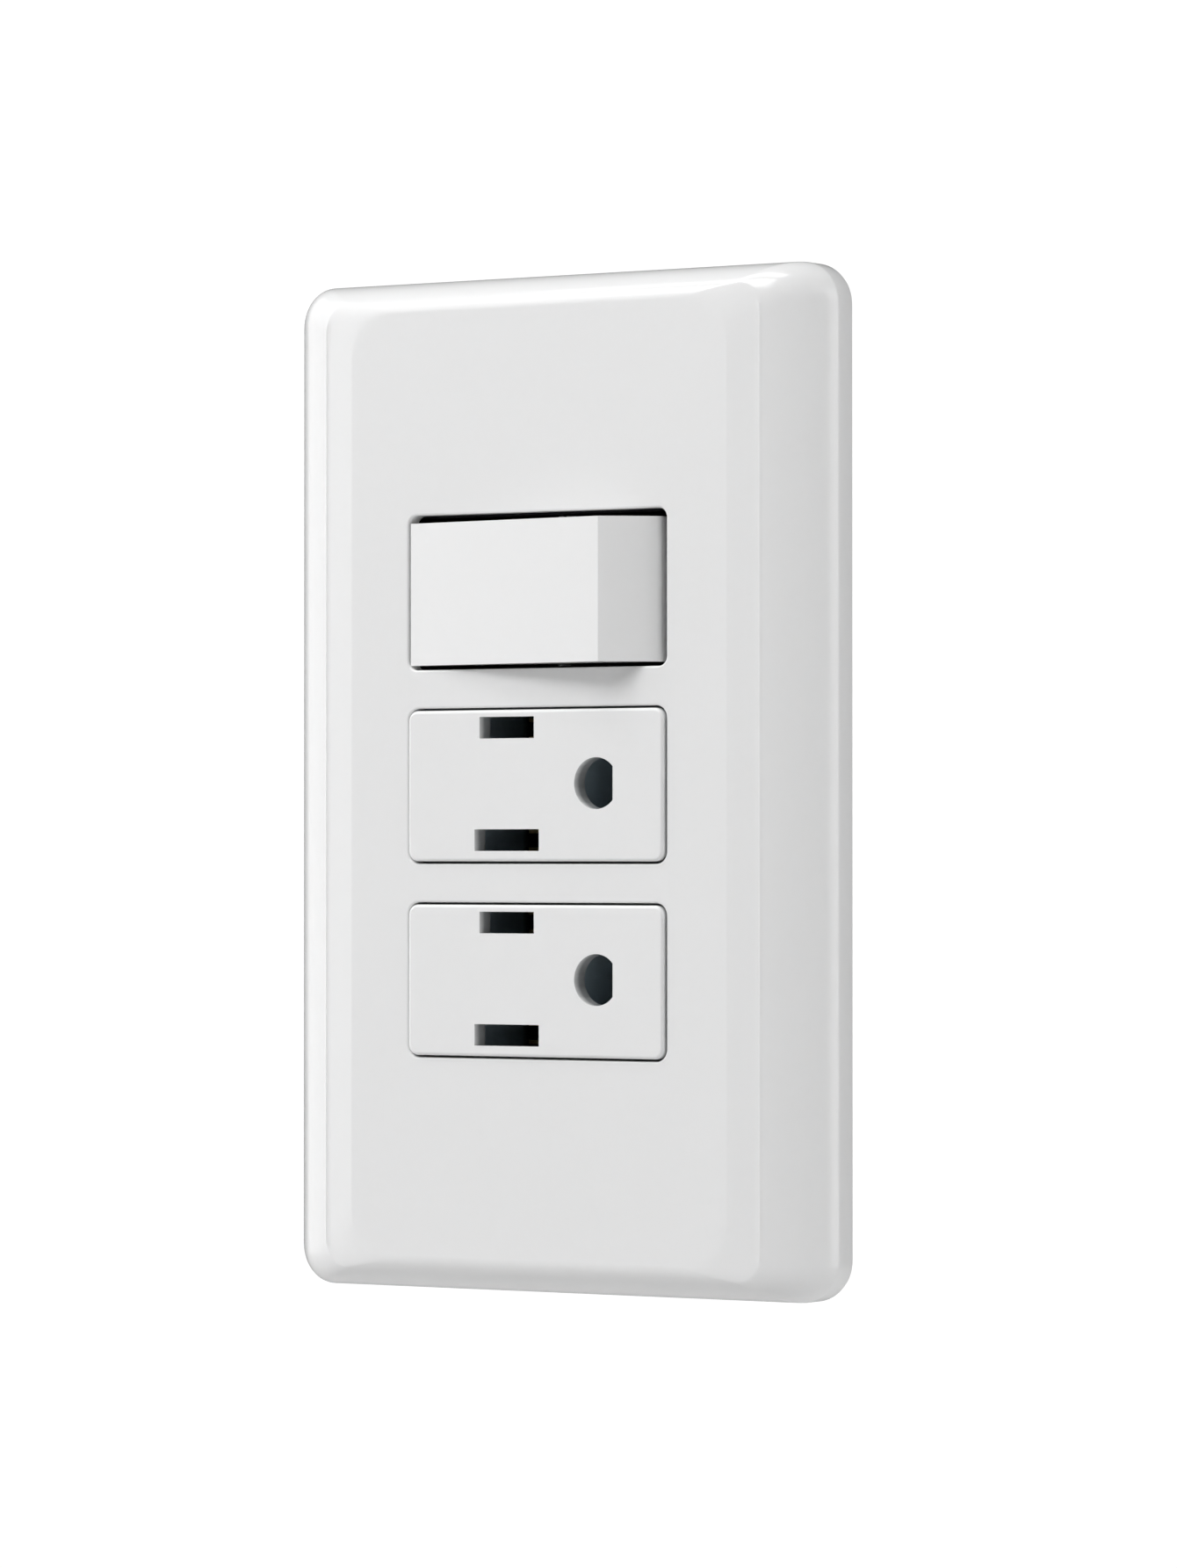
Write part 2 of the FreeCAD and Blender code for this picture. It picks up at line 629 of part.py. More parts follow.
def cut_terminal(build, z, row_z, side, half):
    """Side recess with its screw hole, for one terminal. half is +1 above or -1 below the middle."""
    low, high = ordered(row_z + (z.tab_low - 0.2) * half, row_z + (z.tab_high + 0.2) * half)
    inner, outer = ordered(z.recess_x * side, (z.module_half_width + 0.5) * side)
    build.hole(span(inner, outer, low, high), z.recess_front, z.recess_back)
    inner, outer = ordered((z.terminal_end - 0.4) * side, (z.recess_x + 0.2) * side)
    middle = row_z + z.terminal_z * half
    reach = z.terminal_radius + 0.1
    build.hole(span(inner, outer, middle - reach, middle + reach),
               z.terminal_y - reach, z.terminal_y + reach)


def outlet_body(doc, z, label, row_z, contact_z):
    """Dark rear half of an outlet, with contact chambers and terminal recesses."""
    build = Builder(doc, label)
    front = -z.face_front + z.face_wall + z.slip
    build.slab(rounded(0.0, row_z, z.module_half_width, z.module_half_height, 1.0),
               z.module_back, z.joint_depth + z.seat)
    build.slab(rounded(0.0, row_z, z.tower_half_width, z.tower_half_height, 0.4),
               z.joint_depth + z.seat, front)
    strip_front = z.bridge - z.slip
    strip_back = z.bridge + z.bridge_thick + z.slip
    left = -z.blade_x - z.leaf_half_width - 1.6
    right = -z.blade_x + z.leaf_half_width + 1.6
    for half in (1.0, -1.0):
        low, high = ordered(contact_z + (z.blade_z - 1.9) * half, contact_z + (z.blade_z + 2.0) * half)
        build.hole(span(left, right, low, high), front - 0.5, z.chamber_back)
        low, high = ordered(contact_z + (z.blade_z - 1.6) * half, contact_z + (z.blade_z + 1.6) * half)
        build.hole(span(-z.tab_x - 0.2, left + 0.5, low, high), strip_front, strip_back)
        cut_terminal(build, z, contact_z, -1.0, half)
    build.hole(span(z.ground_x - 3.7, z.ground_x + 4.0, contact_z - 3.5, contact_z + 3.5),
               front - 0.5, z.chamber_back)
    build.hole(span(z.ground_x + 3.5, z.tab_x - 1.9, contact_z - 3.1, contact_z + z.tab_high + 0.1),
               strip_front, strip_back)
    build.hole(span(z.tab_x - 2.0, z.tab_x + 0.2, contact_z + z.tab_low - 0.1, contact_z + z.tab_high + 0.1),
               strip_front, strip_back)
    cut_terminal(build, z, contact_z, 1.0, 1.0)
    cut_assembly_holes(build, z, row_z, z.joint_depth, z.module_back)
    cut_head_recesses(build, z, row_z)
    return build.body


def cut_head_recesses(build, z, row_z):
    """Counterbores for the heads of the assembly screws."""
    for side in (-1.0, 1.0):
        recess = drawing(add_circle, z.assembly_x * side, row_z, z.assembly_head_radius + 0.2)
        build.hole(recess, z.module_back - z.assembly_head - 0.2, z.module_back)


def add_tab(build, z, row_z, side, half):
    """Terminal tab that stands in a side recess, tapped for its screw."""
    low, high = ordered(row_z + z.tab_low * half, row_z + z.tab_high * half)
    inner, outer = ordered((z.tab_x - z.bridge_thick) * side, z.tab_x * side)
    build.slab(span(inner, outer, low, high), z.bridge + z.bridge_thick, z.tab_front)
    middle = row_z + z.terminal_z * half
    reach = z.terminal_radius
    build.hole(span(inner - 0.1, outer + 0.1, middle - reach, middle + reach),
               z.terminal_y - reach, z.terminal_y + reach)


def blade_contact(doc, z, label, row_z, half):
    """Brass contact with two wiping leaves, a strip to the left and a terminal tab."""
    build = Builder(doc, label)
    left = -z.blade_x - z.leaf_half_width
    right = -z.blade_x + z.leaf_half_width
    middle = row_z + z.blade_z * half
    for side in (-1.0, 1.0):
        low, high = ordered(middle + z.blade_gap * side, middle + (z.blade_gap + z.leaf) * side)
        build.slab(span(left, right, low, high), z.bridge + z.bridge_thick, z.leaf_front)
    reach = z.blade_gap + z.leaf
    build.slab(span(-z.tab_x, right, middle - reach, middle + reach), z.bridge + z.bridge_thick, z.bridge)
    add_tab(build, z, row_z, -1.0, half)
    return build.body


def ground_contact(doc, z, label, row_z):
    """Ground contact with two leaves that grip the round pin, and a terminal tab on the right."""
    build = Builder(doc, label)
    left = z.ground_x - 2.85
    right = z.ground_x + 2.85
    reach = z.pin_gap + z.bridge_thick
    for side in (-1.0, 1.0):
        low, high = ordered(row_z + z.pin_gap * side, row_z + reach * side)
        build.slab(span(left, right, low, high), z.bridge + z.bridge_thick, z.leaf_front)
    add_right_strip(build, z, row_z, left, row_z - reach, row_z + reach)
    add_tab(build, z, row_z, 1.0, 1.0)
    return build.body


def add_right_strip(build, z, row_z, left, low, high, side=1.0):
    """Flat bridge that widens upwards past the contact and then runs to the tab."""
    back = z.bridge + z.bridge_thick
    shoulder = (z.tab_x - 4.2) * side
    neck = (z.tab_x - 2.1) * side
    top = row_z + z.tab_high
    inner, outer = ordered(left, shoulder)
    build.slab(span(inner, outer, low, high), back, z.bridge)
    inner, outer = ordered(shoulder - 0.2 * side, neck)
    build.slab(span(inner, outer, low, top), back, z.bridge)
    inner, outer = ordered(neck - 0.2 * side, z.tab_x * side)
    build.slab(span(inner, outer, row_z + z.tab_low, top), back, z.bridge)


def terminal_spots(z):
    """Every terminal: role, module centre, side and half."""
    switch_z = module_row(z, 1.0)
    spots = [("switch", switch_z, -1.0, 1.0), ("switch", switch_z, 1.0, 1.0)]
    for row in (0.0, -1.0):
        contact_z = module_row(z, row) + z.slot_lift
        spots.append(("hot", contact_z, -1.0, 1.0))
        spots.append(("neutral", contact_z, -1.0, -1.0))
        spots.append(("ground", contact_z, 1.0, 1.0))
    return spots


def terminal_screws(doc, z, label, role):
    """Binding screws of one kind, each with a straight slot."""
    screws = []
    for index, (kind, row_z, side, half) in enumerate(terminal_spots(z)):
        if kind != role:
            continue
        name = label + str(index)
        height = row_z + z.terminal_z * half
        seat = (z.tab_x + z.clamp_thick) * side
        top = (z.tab_x + z.clamp_thick + z.terminal_head) * side
        end = z.terminal_end * side
        low, high = ordered(seat, end)
        shank = cylinder(doc, name + "_shank", z.terminal_radius, (low, z.terminal_y, height), "x", high - low)
        low, high = ordered(seat, top)
        head = cylinder(doc, name + "_head", z.terminal_head_radius, (low, z.terminal_y, height), "x",
                        z.terminal_head)
        low, high = ordered(top - 0.9 * side, top + 0.1 * side)
        slot = block(doc, name + "_slot",
                     (low, z.terminal_y - z.terminal_head_radius - 0.5, height - 0.45),
                     (high, z.terminal_y + z.terminal_head_radius + 0.5, height + 0.45))
        whole = joined(doc, name + "_whole", [shank, head])
        screws.append(removed(doc, name, whole, slot))
    return grouped(doc, label, screws)


def terminal_clamps(doc, z):
    """Square pressure plates under the terminal screws."""
    plates = []
    for index, (kind, row_z, side, half) in enumerate(terminal_spots(z)):
        name = "clamp" + str(index)
        height = row_z + z.terminal_z * half
        low, high = ordered(z.tab_x * side, (z.tab_x + z.clamp_thick) * side)
        plate = block(doc, name + "_plate",
                      (low, z.terminal_y - z.clamp_half, height - z.clamp_half),
                      (high, z.terminal_y + z.clamp_half, height + z.clamp_half))
        bore = cylinder(doc, name + "_bore", z.terminal_radius + z.slip,
                        (low - 0.1, z.terminal_y, height), "x", z.clamp_thick + 0.2)
        plates.append(removed(doc, name, plate, bore))
    return grouped(doc, "terminal_clamps", plates)


def assembly_screws(doc, z):
    """Six small screws that hold the module halves together from behind."""
    screws = []
    for row in (-1.0, 0.0, 1.0):
        for side in (-1.0, 1.0):
            name = "assembly_screw" + str(len(screws))
            spot = z.assembly_x * side
            height = module_row(z, row)
            seat = z.module_back - z.assembly_head - 0.2
            shank = cylinder(doc, name + "_shank", z.assembly_radius - 0.02,
                             (spot, -z.assembly_front, height), "y", seat + z.assembly_front)
            head = cylinder(doc, name + "_head", z.assembly_head_radius, (spot, seat, height), "y",
                            z.assembly_head)
            top = seat + z.assembly_head
            slot = block(doc, name + "_slot",
                         (spot - z.assembly_head_radius - 0.2, top - 0.6, height - 0.35),
                         (spot + z.assembly_head_radius + 0.2, top + 0.1, height + 0.35))
            whole = joined(doc, name + "_whole", [shank, head])
            screws.append(removed(doc, name, whole, slot))
    return grouped(doc, "assembly_screws", screws)


def switch_frame(doc, z, row_z):
    """White front half of the switch: the open well that the key rocks in."""
    build = Builder(doc, "switch_frame")
    build.slab(rounded(0.0, row_z, z.module_half_width, z.module_half_height, 1.0), z.joint_depth, z.seat)
    build.slab(rounded(0.0, row_z, z.neck_half_width, z.neck_half_height, 0.8), z.seat, -z.neck_front)
    well = rounded(0.0, row_z, z.window_half_width, z.key_well_half_height, 0.6)
    build.hole(well, -z.neck_front - 0.5, -z.key_well_floor)
    opening = span(-z.stem_slot, z.stem_slot,
                   row_z - z.key_well_half_height, row_z + z.key_well_half_height)
    build.hole(opening, -z.key_well_floor - 0.1, z.joint_depth)
    add_lugs(build, z, row_z)
    sketch = build.sketch("top", row_z)
    add_circle(sketch, 0.0, -z.pivot_y, z.pivot_radius)
    build.feature("Pocket", sketch, z.pivot_half_length * 2.0, symmetric=True)
    cut_assembly_holes(build, z, row_z, -z.assembly_front - 0.3, z.joint_depth)
    return build.body


def switch_housing(doc, z, row_z):
    """Dark rear half of the switch, with the contact chamber and two terminal recesses."""
    build = Builder(doc, "switch_housing")
    build.slab(rounded(0.0, row_z, z.module_half_width, z.module_half_height, 1.0),
               z.module_back, z.joint_depth + z.seat)
    chamber = span(-z.switch_chamber, z.switch_chamber,
                   row_z - z.switch_chamber_z, row_z + z.switch_chamber_z)
    build.hole(chamber, z.joint_depth, z.switch_chamber_back)
    strip_front = z.bridge - z.slip
    strip_back = z.bridge + z.bridge_thick + z.slip
    for side in (-1.0, 1.0):
        inner, outer = ordered((z.switch_chamber - 0.5) * side, (z.tab_x - 1.9) * side)
        build.hole(span(inner, outer, row_z - 3.9, row_z + z.tab_high + 0.1), strip_front, strip_back)
        inner, outer = ordered((z.tab_x - 2.0) * side, (z.tab_x + 0.2) * side)
        build.hole(span(inner, outer, row_z + z.tab_low - 0.1, row_z + z.tab_high + 0.1),
                   strip_front, strip_back)
        cut_terminal(build, z, row_z, side, 1.0)
    cut_assembly_holes(build, z, row_z, z.joint_depth, z.module_back)
    cut_head_recesses(build, z, row_z)
    return build.body


def common_terminal(doc, z, row_z):
    """Brass fulcrum with two ears that carry the moving contact, and a tab on the right."""
    build = Builder(doc, "common_terminal")
    reach = z.ear_near + z.ear_thick
    back = z.bridge + z.bridge_thick
    add_right_strip(build, z, row_z, -z.ear_half, row_z - reach, row_z + reach)
    for side in (-1.0, 1.0):
        low, high = ordered(row_z + z.ear_near * side, row_z + reach * side)
        build.slab(span(-z.ear_half, z.ear_half, low, high), back, z.ear_front)
    sketch = build.sketch("top", row_z)
    add_circle(sketch, 0.0, z.seesaw_y, z.knuckle_radius + 0.05)
    build.feature("Pocket", sketch, (reach + 0.5) * 2.0, symmetric=True)
    add_tab(build, z, row_z, 1.0, 1.0)
    return build.body


def switched_terminal(doc, z, row_z):
    """Brass arm under the fixed contact tip, stepped down to its tab on the left."""
    build = Builder(doc, "switched_terminal")
    half = z.seesaw_half_width
    arm_front = z.fixed_tip_front + z.tip_thick
    arm_left = -z.tip_x - 3.4
    build.slab(span(arm_left, -z.tip_x + 2.0, row_z - half, row_z + half),
               arm_front + z.bridge_thick, arm_front)
    build.slab(span(arm_left, arm_left + z.bridge_thick, row_z - half, row_z + half),
               z.bridge + z.bridge_thick, arm_front)
    add_right_strip(build, z, row_z, arm_left + 0.3, row_z - half, row_z + half, side=-1.0)
    add_tab(build, z, row_z, -1.0, 1.0)
    return build.body


def fixed_contact_tip(doc, z, row_z):
    """Silver button on the arm of the switched terminal."""
    tip = cylinder(doc, "fixed_contact_tip", z.tip_radius, (-z.tip_x, z.fixed_tip_front, row_z), "y",
                   z.tip_thick)
    tip.Label = "fixed_contact_tip"
    return tip


def turn_about(body, z, depth, angle, row_z):
    """Turn a body, drawn round its own pivot, by an angle and set the pivot in the frame."""
    body.Placement = FreeCAD.Placement(
        FreeCAD.Vector(0, depth.number, row_z.number),
        FreeCAD.Rotation(FreeCAD.Vector(0, 0, 1), angle.number))
    body.setExpression("Placement.Base.y", depth.text)
    body.setExpression("Placement.Base.z", row_z.text)
    body.setExpression("Placement.Rotation.Angle", angle.text)


def stands_at(edge, x, y):
    """Whether an edge runs straight up and down at one place."""
    box = edge.BoundBox
    off = max(abs(box.XMin - x.number), abs(box.XMax - x.number),
              abs(box.YMin - y.number), abs(box.YMax - y.number))
    return off < 1e-3 and box.ZLength > 1.0


def rocker_key(doc, z, row_z):
    """Wedge-shaped key, hollow below, with a hub on the pivot pin and a stem for the plunger."""
    build = Builder(doc, "rocker_key")
    outline = [
        (-z.key_left, -z.key_left_rise),
        (z.ridge_x, -z.ridge_rise),
        (z.key_right, -z.key_right_rise),
        (z.key_right - 0.3, -z.key_right_foot),
        (3.0, -2.0),
        (-3.0, -2.0),
        (-z.key_left + 0.2, -z.key_left_foot),
    ]
    build.cross(drawing(add_polygon, outline), z.key_half_height)
    build.soften(lambda edge: stands_at(edge, z.key_right, -z.key_right_rise), 0.8)
    inner = z.key_half_height - z.key_skin
    left_hollow = [
        (-z.key_left + z.key_skin, -z.key_left_rise + z.key_skin),
        (-3.4, -z.ridge_rise + z.key_skin + 0.7),
        (-3.4, -1.0),
        (-z.key_left + z.key_skin, -1.0),
    ]
    right_hollow = [
        (3.4, -z.ridge_rise + z.key_skin + 0.4),
        (z.ridge_x - 0.6, -z.ridge_rise + z.key_skin),
        (z.key_right - 1.9, -z.key_right_rise - 0.3),
        (z.key_right - 1.9, -1.0),
        (3.4, -1.0),
    ]
    build.cross(drawing(add_polygon, left_hollow), inner, kind="Pocket")
    build.cross(drawing(add_polygon, right_hollow), inner, kind="Pocket")
    build.cross(drawing(add_circle, 0.0, 0.0, z.hub_radius), z.key_half_height)
    build.slab(span(-z.stem_half, z.stem_half, -z.stem_half_width, z.stem_half_width),
               z.stem_end, z.hub_radius - 1.0)
    build.cross(drawing(add_circle, 0.0, 0.0, z.pivot_radius + 0.05), z.key_half_height, kind="Pocket")
    build.hole(drawing(add_circle, 0.0, 0.0, z.bore_radius), z.bore_start, z.stem_end)
    turn_about(build.body, z, -z.pivot_y, -z.key_tilt, row_z)
    return build.body


def key_pivot_pin(doc, z, row_z):
    """Steel pin across the well, held in the frame walls."""
    pin = cylinder(doc, "key_pivot_pin", z.pivot_radius, (0.0, -z.pivot_y, row_z - z.pivot_half_length),
                   "z", z.pivot_half_length * 2.0)
    pin.Label = "key_pivot_pin"
    return pin


def key_plunger(doc, z, row_z):
    """Round-nosed plunger that runs in the stem of the key."""
    build = Builder(doc, "key_plunger")
    nose = z.plunger_tip - z.plunger_nose
    build.spin(drawing(add_polygon, [
        (0.0, z.plunger_start),
        (z.plunger_radius, z.plunger_start),
        (z.plunger_radius, nose),
        (z.plunger_nose, nose + z.plunger_nose * 0.55),
        (z.plunger_nose * 0.55, z.plunger_tip - z.plunger_nose * 0.1),
        (0.0, z.plunger_tip),
    ]))
    turn_about(build.body, z, -z.pivot_y, -z.key_tilt, row_z)
    return build.body


def key_spring(doc, z, row_z):
    """Coil spring between the bottom of the stem bore and the plunger."""
    start = z.bore_start.number + z.spring_wire.number + 0.02
    length = z.plunger_start.number - z.bore_start.number - 2 * z.spring_wire.number - 0.04
    radius = z.spring_radius.number
    helix = Part.makeHelix(length / z.spring_turns.number, length, radius)
    section = Part.Wire(Part.makeCircle(
        z.spring_wire.number, FreeCAD.Vector(radius, 0, 0), FreeCAD.Vector(0, 1, 0)))
    coil = Part.Wire(helix).makePipeShell([section], True, True)
    spring = doc.addObject("Part::Feature", "key_spring")
    spring.Label = "key_spring"
    spring.Shape = coil
    along_stem = FreeCAD.Placement(
        FreeCAD.Vector(0, start, 0), FreeCAD.Rotation(FreeCAD.Vector(1, 0, 0), -90))
    pivot = FreeCAD.Placement(
        FreeCAD.Vector(0, -z.pivot_y.number, row_z.number),
        FreeCAD.Rotation(FreeCAD.Vector(0, 0, 1), -z.key_tilt.number))
    spring.Placement = pivot.multiply(along_stem)
    return spring


def moving_contact(doc, z, row_z):
    """See-saw strip of brass with a round knuckle that sits in the fulcrum ears."""
    build = Builder(doc, "moving_contact")
    strip = span(-z.seesaw_half_length, z.seesaw_half_length, -z.seesaw_half_width, z.seesaw_half_width)
    build.slab(strip, -z.seesaw_rise + z.seesaw_thick, -z.seesaw_rise)
    build.cross(drawing(add_circle, 0.0, 0.0, z.knuckle_radius), z.knuckle_half_length)
    turn_about(build.body, z, z.seesaw_y, z.seesaw_tilt, row_z)
    return build.body


def moving_contact_tip(doc, z, row_z):
    """Silver button under the left arm of the moving contact."""
    build = Builder(doc, "moving_contact_tip")
    under = -z.seesaw_rise + z.seesaw_thick
    build.slab(drawing(add_circle, -z.tip_x, 0.0, z.tip_radius), under + z.tip_thick, under)
    turn_about(build.body, z, z.seesaw_y, z.seesaw_tilt, row_z)
    return build.body


def build_all(doc):
    z = Sizes(doc)
    switch_z = module_row(z, 1.0)
    key_z = switch_z - z.key_drop
    parts = [
        cover_plate(doc, z),
        mounting_frame(doc, z),
        mounting_screws(doc, z),
        switch_frame(doc, z, switch_z),
        switch_housing(doc, z, switch_z),
        rocker_key(doc, z, key_z),
        key_pivot_pin(doc, z, switch_z),
        key_plunger(doc, z, key_z),
        key_spring(doc, z, key_z),
        moving_contact(doc, z, switch_z),
        moving_contact_tip(doc, z, switch_z),
        common_terminal(doc, z, switch_z),
        switched_terminal(doc, z, switch_z),
        fixed_contact_tip(doc, z, switch_z),
        terminal_screws(doc, z, "switch_terminal_screws", "switch"),
        terminal_screws(doc, z, "hot_terminal_screws", "hot"),
        terminal_screws(doc, z, "neutral_terminal_screws", "neutral"),
        terminal_screws(doc, z, "ground_terminal_screws", "ground"),
        terminal_clamps(doc, z),
        assembly_screws(doc, z),
    ]
    for word, row in (("upper", 0.0), ("lower", -1.0)):
        row_z = module_row(z, row)
        contact_z = row_z + z.slot_lift
        parts.append(outlet_face(doc, z, word + "_outlet_face", row_z, contact_z))
        parts.append(outlet_body(doc, z, word + "_outlet_body", row_z, contact_z))
        parts.append(blade_contact(doc, z, word + "_hot_contact", contact_z, 1.0))
        parts.append(blade_contact(doc, z, word + "_neutral_contact", contact_z, -1.0))
        parts.append(ground_contact(doc, z, word + "_ground_contact", contact_z))
    return parts


def check_and_write(doc, parts):
    """Stop on any broken feature, then write each sub-part to its own file."""
    doc.recompute()
    faults = [item.Name for item in doc.Objects if set(item.State) & {"Invalid", "Error"}]
    for part in parts:
        if part.Shape.isNull() or not part.Shape.isValid() or not part.Shape.Solids:
            faults.append(part.Label)
    if faults:
        raise RuntimeError("broken features: " + ", ".join(faults))
    os.makedirs("parts", exist_ok=True)
    for part in parts:
        part.Shape.exportStep("parts/" + part.Label + ".step")
        box = part.Shape.BoundBox
        print(part.Label, len(part.Shape.Solids), round(part.Shape.Volume, 1),
              [round(v, 2) for v in (box.XMin, box.XMax, box.YMin, box.YMax, box.ZMin, box.ZMax)])


document = FreeCAD.newDocument("WallPlate")
check_and_write(document, build_all(document))
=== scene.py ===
"""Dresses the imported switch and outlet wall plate: plate, key, outlets, frame, modules and fasteners."""

import json
import math

import bmesh
import bpy
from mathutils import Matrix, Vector


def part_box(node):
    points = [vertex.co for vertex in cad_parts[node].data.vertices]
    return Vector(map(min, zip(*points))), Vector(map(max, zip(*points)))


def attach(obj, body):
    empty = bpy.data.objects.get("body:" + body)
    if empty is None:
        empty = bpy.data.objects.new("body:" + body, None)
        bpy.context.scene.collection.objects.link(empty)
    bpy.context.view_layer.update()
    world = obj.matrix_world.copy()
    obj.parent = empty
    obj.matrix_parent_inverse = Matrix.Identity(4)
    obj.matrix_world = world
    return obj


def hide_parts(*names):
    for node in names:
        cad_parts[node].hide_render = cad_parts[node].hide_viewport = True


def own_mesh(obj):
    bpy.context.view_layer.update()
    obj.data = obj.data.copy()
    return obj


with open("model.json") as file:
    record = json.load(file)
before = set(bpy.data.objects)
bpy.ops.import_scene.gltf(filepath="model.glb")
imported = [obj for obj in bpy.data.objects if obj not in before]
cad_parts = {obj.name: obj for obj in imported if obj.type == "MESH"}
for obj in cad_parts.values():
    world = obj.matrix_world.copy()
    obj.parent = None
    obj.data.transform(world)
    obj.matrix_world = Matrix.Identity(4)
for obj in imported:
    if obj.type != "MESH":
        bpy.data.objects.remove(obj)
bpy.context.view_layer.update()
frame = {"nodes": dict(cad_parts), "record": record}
MM = 0.001

# ---------------------------------------------------------------- places from the CAD model

PLATE_LOW, PLATE_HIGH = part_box("cover_plate")
HALF_X = PLATE_HIGH[0] / MM
HALF_Z = PLATE_HIGH[2] / MM
FRONT = PLATE_LOW[1] / MM


def middle_z(node):
    """Height of the middle of a node, in mm."""
    low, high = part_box(node)
    return (low[2] + high[2]) / 2 / MM


ROW_Z = {
    "switch": middle_z("switch_frame"),
    "upper": middle_z("upper_outlet_face"),
    "lower": middle_z("lower_outlet_face"),
}

# ---------------------------------------------------------------- sizes in mm

# Plate rim, wall thickness and windows; the square key needs tighter window corners.
RIM_DEPTH = 3.0
RIM_RADIUS = 4.7
WALL = 2.0
WINDOW_X = 17.25
WINDOW_Z = 8.8
WINDOW_RADIUS = 1.4
KEY_WINDOW_RADIUS = 1.1
WINDOW_ROUND = 0.28
ROOF = FRONT + WALL

# Crown of the plate: the side curve ends at a crease, and a shallow facet runs from there to the flat.
CROWN_DROP = 6.1
CROWN_ARC = 13.5
END_INSET = 4.0
CREASE_DEPTH = 0.6
CREASE_INSET = 7.0
CREASE_RADIUS = 2.9
FACET_WIDTH = 4.0
FACET_TURN = 1.9
BEAD_HEIGHT = 0.09
BEAD_HALF_WIDTH = 0.22
BEAD_DEPTH = CREASE_DEPTH - BEAD_HEIGHT
BEAD_FADE = 0.25

# Hooks that hold the plate to the frame.
HOOK_Z = 45.5
HOOK_HALF = 3.5
WEB_OFFSET = 2.2
WEB_HALF = 0.4

# Ribs behind the plate.
RIB_HALF = 0.45
RIB_STEP = 10.5

# Wall screws.
SCREW_HEAD_RADIUS = 3.5
SCREW_NECK_RADIUS = 1.45
SCREW_RADIUS = 1.75
SCREW_CORE = 1.36
SCREW_PITCH = 0.79
SCREW_TIP_Y = 21.95
SCREW_TAPER = 1.8

# Coil in the key stem; the seat is measured behind the key pivot.
SPRING_SEAT = 1.6
SPRING_LENGTH = 2.6
SPRING_RADIUS = 1.05
SPRING_WIRE = 0.18
SPRING_COILS = 4.5
SPRING_GAP = 0.02
SPRING_STEPS = 190
SPRING_CLOSED = 0.14


# ---------------------------------------------------------------- node helpers

class Nodes:
    """Short way to write a material's node tree."""

    def __init__(self, name):
        self.material = bpy.data.materials.new(name)
        self.material.use_nodes = True
        self.tree = self.material.node_tree
        self.tree.nodes.clear()
        self.out = self.add("ShaderNodeOutputMaterial")
        self.shader = self.add("ShaderNodeBsdfPrincipled")
        self.link(self.shader, "BSDF", self.out, "Surface")
        self.coords = self.add("ShaderNodeTexCoord")

    def add(self, kind, **values):
        node = self.tree.nodes.new(kind)
        for name, value in values.items():
            setattr(node, name, value)
        return node

    def link(self, a, out_name, b, in_name):
        self.tree.links.new(a.outputs[out_name], b.inputs[in_name])

    def noise(self, scale, detail=4.0, rough=0.5, stretch=None):
        node = self.add("ShaderNodeTexNoise")
        node.inputs["Scale"].default_value = scale
        node.inputs["Detail"].default_value = detail
        node.inputs["Roughness"].default_value = rough
        if stretch is None:
            self.link(self.coords, "Object", node, "Vector")
        else:
            mapping = self.add("ShaderNodeMapping")
            mapping.inputs["Scale"].default_value = stretch
            self.link(self.coords, "Object", mapping, "Vector")
            self.link(mapping, "Vector", node, "Vector")
        return node

    def ramp(self, source, out_name, low, high, start, end):
        """Map a value between two limits to a value between two others."""
        node = self.add("ShaderNodeMapRange")
        node.inputs["From Min"].default_value = low
        node.inputs["From Max"].default_value = high
        node.inputs["To Min"].default_value = start
        node.inputs["To Max"].default_value = end
        self.link(source, out_name, node, "Value")
        return node

    def tint(self, source, out_name, low, high, first, second):
        """Colour that runs between two colours as a value runs between two limits."""
        node = self.add("ShaderNodeValToRGB")
        node.color_ramp.elements[0].position = low
        node.color_ramp.elements[0].color = (*first, 1.0)
        node.color_ramp.elements[1].position = high
        node.color_ramp.elements[1].color = (*second, 1.0)
        self.link(source, out_name, node, "Fac")
        return node

    def bump(self, source, out_name, strength, distance, before=None):
        node = self.add("ShaderNodeBump")
        node.inputs["Strength"].default_value = strength
        node.inputs["Distance"].default_value = distance
        self.link(source, out_name, node, "Height")
        if before is not None:
            self.link(before, "Normal", node, "Normal")
        return node

    def paint(self, body, painted_shading):
        """Colour the shader; the last argument, if given, is two depths in metres and the tint that holds
        from the second on: painted light and shade that change with depth.
        """
        if painted_shading is None:
            self.link(body, "Color", self.shader, "Base Color")
            return
        start, end, tint = painted_shading
        # Painted light and shade: the base colour is mixed towards the tint by depth along Y.
        place = self.add("ShaderNodeNewGeometry")
        split = self.add("ShaderNodeSeparateXYZ")
        self.link(place, "Position", split, "Vector")
        depth = self.ramp(split, "Y", start, end, 0.0, 1.0)
        mixed = self.add("ShaderNodeMixRGB")
        mixed.inputs["Color2"].default_value = (*tint, 1.0)
        self.link(depth, "Result", mixed, "Fac")
        self.link(body, "Color", mixed, "Color1")
        self.link(mixed, "Color", self.shader, "Base Color")


def scaled(colour, factor):
    return tuple(channel * factor for channel in colour)


